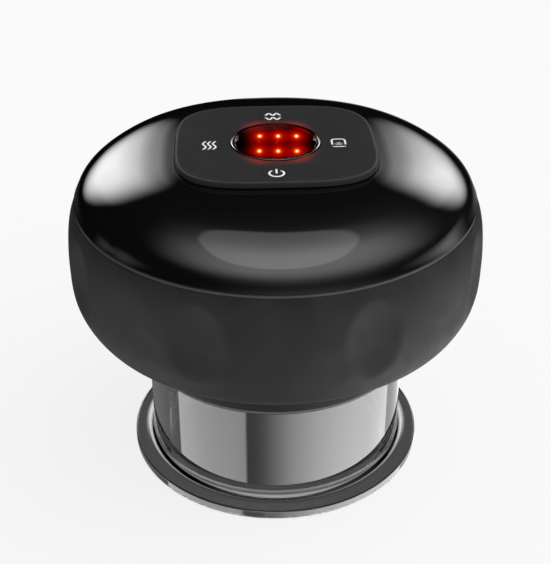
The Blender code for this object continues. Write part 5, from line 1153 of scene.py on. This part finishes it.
MOTOR_AXIS = (15.5 * MM, 55.6 * MM)
MOTOR_RADIUS = 12.1 * MM
MOTOR_REAR, MOTOR_FACE, MOTOR_NOSE = -29.0 * MM, 0.8 * MM, 1.8 * MM
MOTOR_BORE = (1.1 * MM, -13.6 * MM)
MOTOR_ROUND = 1.2 * MM
NOSE_RADIUS = 3.5 * MM
CRIMP_X = -26.4 * MM
CRIMP_DEPTH = 0.35 * MM
motor_profile = [(0, MOTOR_BORE[1]), MOTOR_BORE, (MOTOR_BORE[0], MOTOR_NOSE), (NOSE_RADIUS - 0.2 * MM, MOTOR_NOSE),
                 (NOSE_RADIUS, MOTOR_NOSE - 0.2 * MM), (NOSE_RADIUS, MOTOR_FACE)]
motor_profile += corner(MOTOR_RADIUS, MOTOR_FACE, MOTOR_ROUND, 90, 8)
motor_profile += [(MOTOR_RADIUS, CRIMP_X), (MOTOR_RADIUS - CRIMP_DEPTH, CRIMP_X - 0.15 * MM),
                  (MOTOR_RADIUS - CRIMP_DEPTH, CRIMP_X - 0.45 * MM), (MOTOR_RADIUS, CRIMP_X - 0.6 * MM)]
motor_profile += corner(MOTOR_RADIUS, MOTOR_REAR, MOTOR_ROUND, 0, 8)
motor_profile += [(4.2 * MM, MOTOR_REAR), (4.0 * MM, MOTOR_REAR + 0.4 * MM), (0, MOTOR_REAR + 0.4 * MM)]
piece("motor_case", turned(motor_profile, 96, 35, along_x(*MOTOR_AXIS)), can_steel, "steel", "motor_can")

DAMPER_INNER, DAMPER_OUTER = 12.4 * MM, 13.6 * MM
DAMPER_WIDTH = 4.0 * MM
DAMPER_RIBS = 3
DAMPERS = {"rear": -24.0 * MM, "front": -7.2 * MM}
damper_profile = [(DAMPER_INNER, DAMPER_WIDTH), (DAMPER_INNER, 0.0)]
rib_round = DAMPER_WIDTH / DAMPER_RIBS / 2
for rib in range(DAMPER_RIBS):
    middle = rib_round * (2 * rib + 1)
    for t in [TURN / 2 * (i + 0.5) / 8 for i in range(8)]:
        damper_profile.append((DAMPER_OUTER - rib_round * (1 - math.sin(t)), middle - rib_round * math.cos(t)))
for end, x in DAMPERS.items():
    ring = turned(damper_profile, 96, 50, along_x(*MOTOR_AXIS, x))
    piece(f"damper_{end}", ring, rubber, "rubber_black", f"motor_damper_{end}")

VALVE_AXIS = (-14.0 * MM, -31.0 * MM)
VALVE_RADIUS, VALVE_WAIST, VALVE_BORE, NOZZLE_BORE = 5.8 * MM, 5.0 * MM, 2.6 * MM, 0.9 * MM
VALVE_LOW, VALVE_HIGH, NOZZLE_TOP = 43.0 * MM, 56.5 * MM, 60.5 * MM
YOKE = 1.2 * MM
WIRE_TURNS = 26
WIRE_ROUND = 0.12 * MM
yoke_low, yoke_high = VALVE_LOW + YOKE, VALVE_HIGH - YOKE
valve_profile = [(NOZZLE_BORE, NOZZLE_TOP), (1.3 * MM, NOZZLE_TOP), (1.5 * MM, NOZZLE_TOP - 0.3 * MM),
                 (1.5 * MM, VALVE_HIGH)]
valve_profile += corner(VALVE_RADIUS, VALVE_HIGH, 0.3 * MM, 90, 4)
valve_profile += [(VALVE_RADIUS, yoke_high), (VALVE_WAIST, yoke_high)]
pitch = (yoke_high - yoke_low) / WIRE_TURNS
for turn in range(WIRE_TURNS):
    for share, height in ((0.25, 0.7), (0.5, 1.0), (0.75, 0.7), (1.0, 0.0)):
        valve_profile.append((VALVE_WAIST + WIRE_ROUND * height, yoke_high - pitch * (turn + share)))
valve_profile += [(VALVE_RADIUS, yoke_low), (VALVE_RADIUS, VALVE_LOW), (VALVE_BORE, VALVE_LOW),
                  (VALVE_BORE, yoke_high), (NOZZLE_BORE, yoke_high)]
winding = Finish("valve_winding", 0.5, 0.3, Metallic=1.0)
x, y, z = winding.where.parts()
from_axis = winding.reach(x - VALVE_AXIS[0], y - VALVE_AXIS[1])
copper = (from_axis < VALVE_WAIST + 0.2 * MM) * (from_axis > VALVE_WAIST - 0.2 * MM)
winding.tint(copper, (0.52, 0.52, 0.53), (0.62, 0.24, 0.09))
winding.wear((1, 4), 0.22, 0.38)
winding.bump((0.2, 2), 0.002)
valve = turned(valve_profile, 64, 40, Matrix.Translation((*VALVE_AXIS, 0)))
piece("valve_solenoid", valve, winding, "steel", "valve_body")

SPRING_FOOT = (*VALVE_AXIS, 43.25 * MM)
coiling = Growth("valve_coil", {"Radius": 1.5 * MM, "Wire radius": 0.2 * MM, "Turns": 5.0, "Height": 3.7 * MM})
given = coiling.given
coil = coiling.value("GeometryNodeCurveSpiral", {
    "Resolution": 32, "Rotations": given["Turns"], "Start Radius": given["Radius"], "End Radius": given["Radius"],
    "Height": given["Height"]})
wire = coiling.value("GeometryNodeCurvePrimitiveCircle", {"Resolution": 12, "Radius": given["Wire radius"]})
coiling.end(coiling.put(coiling.swept(coil, wire)))
coil = grown(seeds([SPRING_FOOT]), coiling, spring_steel)
spring = piece("valve_coil", coil, spring_steel, "steel", "valve_spring")
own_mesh(spring)


# Hoses and seal
# Milky silicone: two air hoses from the pump and the valve, and the ring that seals the cup on the head.
silicone = plain("milky_silicone", (0.62, 0.62, 0.60), 0.42, (2.5, 4, (0.54, 0.54, 0.52), (0.70, 0.70, 0.68)),
                 (1.5, 4, 0.35, 0.5), (0.15, 2, 0.004), Subsurface_Weight=0.25,
                 Subsurface_Radius=(1.2 * MM, 1.1 * MM, 1.0 * MM))
HOSE_RADIUS = 2.4 * MM
HOSE_WALL = 0.55 * MM
HOSE_ROUTES = {
    "pump_hose": [(10, -1.2, 43.2), (10, -1.2, 53.25), (10, -1.2, 60.9), (10, -4.875, 64.74), (13.21, -11.0, 65.22),
                  (19.095, -10.39, 63.0), (20.7, -5.32, 63.0), (20.7, 2.81, 63.0)],
    "valve_hose": [(-10, -1.2, 43.2), (-10, -1.2, 53.25), (-10, -1.2, 60.9), (-10, -6.117, 65.22),
                   (-12, -16.1, 65.22), (-14, -26.68, 65.22), (-14, -31, 63.06), (-14, -31, 58.5)],
}


def hosed(route, columns=28):
    """An open tube with a wall along a smooth route."""
    path = [Vector(point) * MM for point in smooth_line(route, 9)]
    side = Vector((1, 0, 0))
    outer, inner = [], []
    for i, here in enumerate(path):
        ahead = (path[min(i + 1, len(path) - 1)] - path[max(i - 1, 0)]).normalized()
        side = (side - ahead * side.dot(ahead)).normalized()
        up = ahead.cross(side)
        around = [side * math.cos(TURN * k / columns) + up * math.sin(TURN * k / columns) for k in range(columns)]
        outer.append([here + way * HOSE_RADIUS for way in around])
        inner.append([here + way * (HOSE_RADIUS - HOSE_WALL) for way in around])
    return skinned(outer + inner[::-1], 50)


for name, route in HOSE_ROUTES.items():
    piece(f"{name}_tube", hosed(route), silicone, "silicone", name)

SEAL_INNER, SEAL_WAIST, SEAL_OUTER = 25.8 * MM, 26.5 * MM, 27.3 * MM
SEAL_LOW, SEAL_HIGH = 32.0 * MM, 34.4 * MM
LIP_ROUND = 0.45 * MM
LIP_INSET = 0.7 * MM
seal_profile = [(SEAL_INNER, SEAL_HIGH), (SEAL_INNER, SEAL_LOW), (SEAL_WAIST, SEAL_LOW)]
for lip in (SEAL_LOW + LIP_INSET, SEAL_HIGH - LIP_INSET):
    seal_profile += arc((SEAL_OUTER - LIP_ROUND, lip), LIP_ROUND, -80, 80, 8)
seal_profile += [(SEAL_WAIST, SEAL_HIGH)]
piece("seal_lips", turned(seal_profile, 160, 50), silicone, "silicone", "seal_ring")


# Suction head
# The moulded head inside the cup, with a stainless warming plate, a red lamp ring under a frosted cover,
# and a foam disc that keeps oil out of the air way.
coat(moulded("head_moulding", (0.022, 0.022, 0.023), 0.4, 0.25, 0.006, 0.12), "suction_head")
coat(solder_mask("lamp_board_mask", 0.8), "light_board")

warm_steel = Finish("spun_steel", 0.62, 0.24, Metallic=1.0)
x, y, z = warm_steel.where.parts()
rings = {"W": warm_steel.reach(x, y), "Scale": 1 / (0.12 * MM), "Detail": 4.0}
spun = warm_steel.value("ShaderNodeTexNoise", rings, "Fac", noise_dimensions="1D")
warm_steel.tint((4, 4), 0.54, (0.70, 0.70, 0.71))
warm_steel.wear(spun, 0.18, 0.34)
warm_steel.bump(spun, 0.004)
PLATE_INNER, PLATE_OUTER = 3.0 * MM, 15.3 * MM
PLATE_LOW, PLATE_HIGH = 30.2 * MM, 31.2 * MM
PLATE_ROUND = 0.4 * MM
PLATE_DISH = 0.15 * MM
plate_profile = corner(PLATE_OUTER, PLATE_HIGH, PLATE_ROUND, 90, 5)
plate_profile += corner(PLATE_OUTER, PLATE_LOW, PLATE_ROUND, 0, 5)
plate_profile += [(13.4 * MM, PLATE_LOW), (13.0 * MM, PLATE_LOW + PLATE_DISH), (5.2 * MM, PLATE_LOW + PLATE_DISH),
                  (4.8 * MM, PLATE_LOW)]
plate_profile += corner(PLATE_INNER, PLATE_LOW, 0.3 * MM, -90, 4) + [(PLATE_INNER, PLATE_HIGH)]
piece("warming_plate", turned(plate_profile, 128, 30), warm_steel, "steel", "heat_plate")

frosted = plain("frosted_cover", (0.80, 0.78, 0.78), 0.35, (6, 3, (0.72, 0.70, 0.70), (0.86, 0.85, 0.85)),
                (2, 4, 0.3, 0.42), (0.1, 2, 0.006), IOR=1.49, Transmission_Weight=0.85)
COVER_INNER, COVER_OUTER = 13.0 * MM, 24.1 * MM
COVER_LOW, COVER_HIGH = 31.5 * MM, 32.7 * MM
COVER_ROUND = 0.3 * MM
cover_profile = [(COVER_INNER, COVER_HIGH)] + corner(COVER_OUTER, COVER_HIGH, COVER_ROUND, 90, 4)
cover_profile += corner(COVER_OUTER, COVER_LOW, COVER_ROUND, 0, 4)
cover_profile += corner(COVER_INNER, COVER_LOW, COVER_ROUND, -90, 4)
piece("lamp_cover", turned(cover_profile, 128, 30), frosted, "clear", "light_cover")

foam = Finish("open_foam", 0.13, 0.85)
cells = {"Vector": foam.where, "Scale": 1 / (0.45 * MM)}
# The pores' hollows are painted darker, a painted shade, and the bump sinks them.
pores = foam.value("ShaderNodeTexVoronoi", cells, "Distance")
foam.tint(pores.ramp(0.1, 0.6), 0.03, 0.2)
foam.wear((0.5, 3), 0.8, 0.95)
foam.bump(pores, 0.12)
FOAM_RADIUS = 3.9 * MM
FOAM_LOW, FOAM_HIGH = 31.5 * MM, 32.9 * MM
FOAM_ROUND = 0.35 * MM
foam_profile = [(0, FOAM_HIGH)] + corner(FOAM_RADIUS, FOAM_HIGH, FOAM_ROUND, 90, 4)
foam_profile += corner(FOAM_RADIUS, FOAM_LOW, FOAM_ROUND, 0, 4) + [(0, FOAM_LOW)]
piece("foam_disc", turned(foam_profile, 64), foam, "foam_grey", "dust_filter")
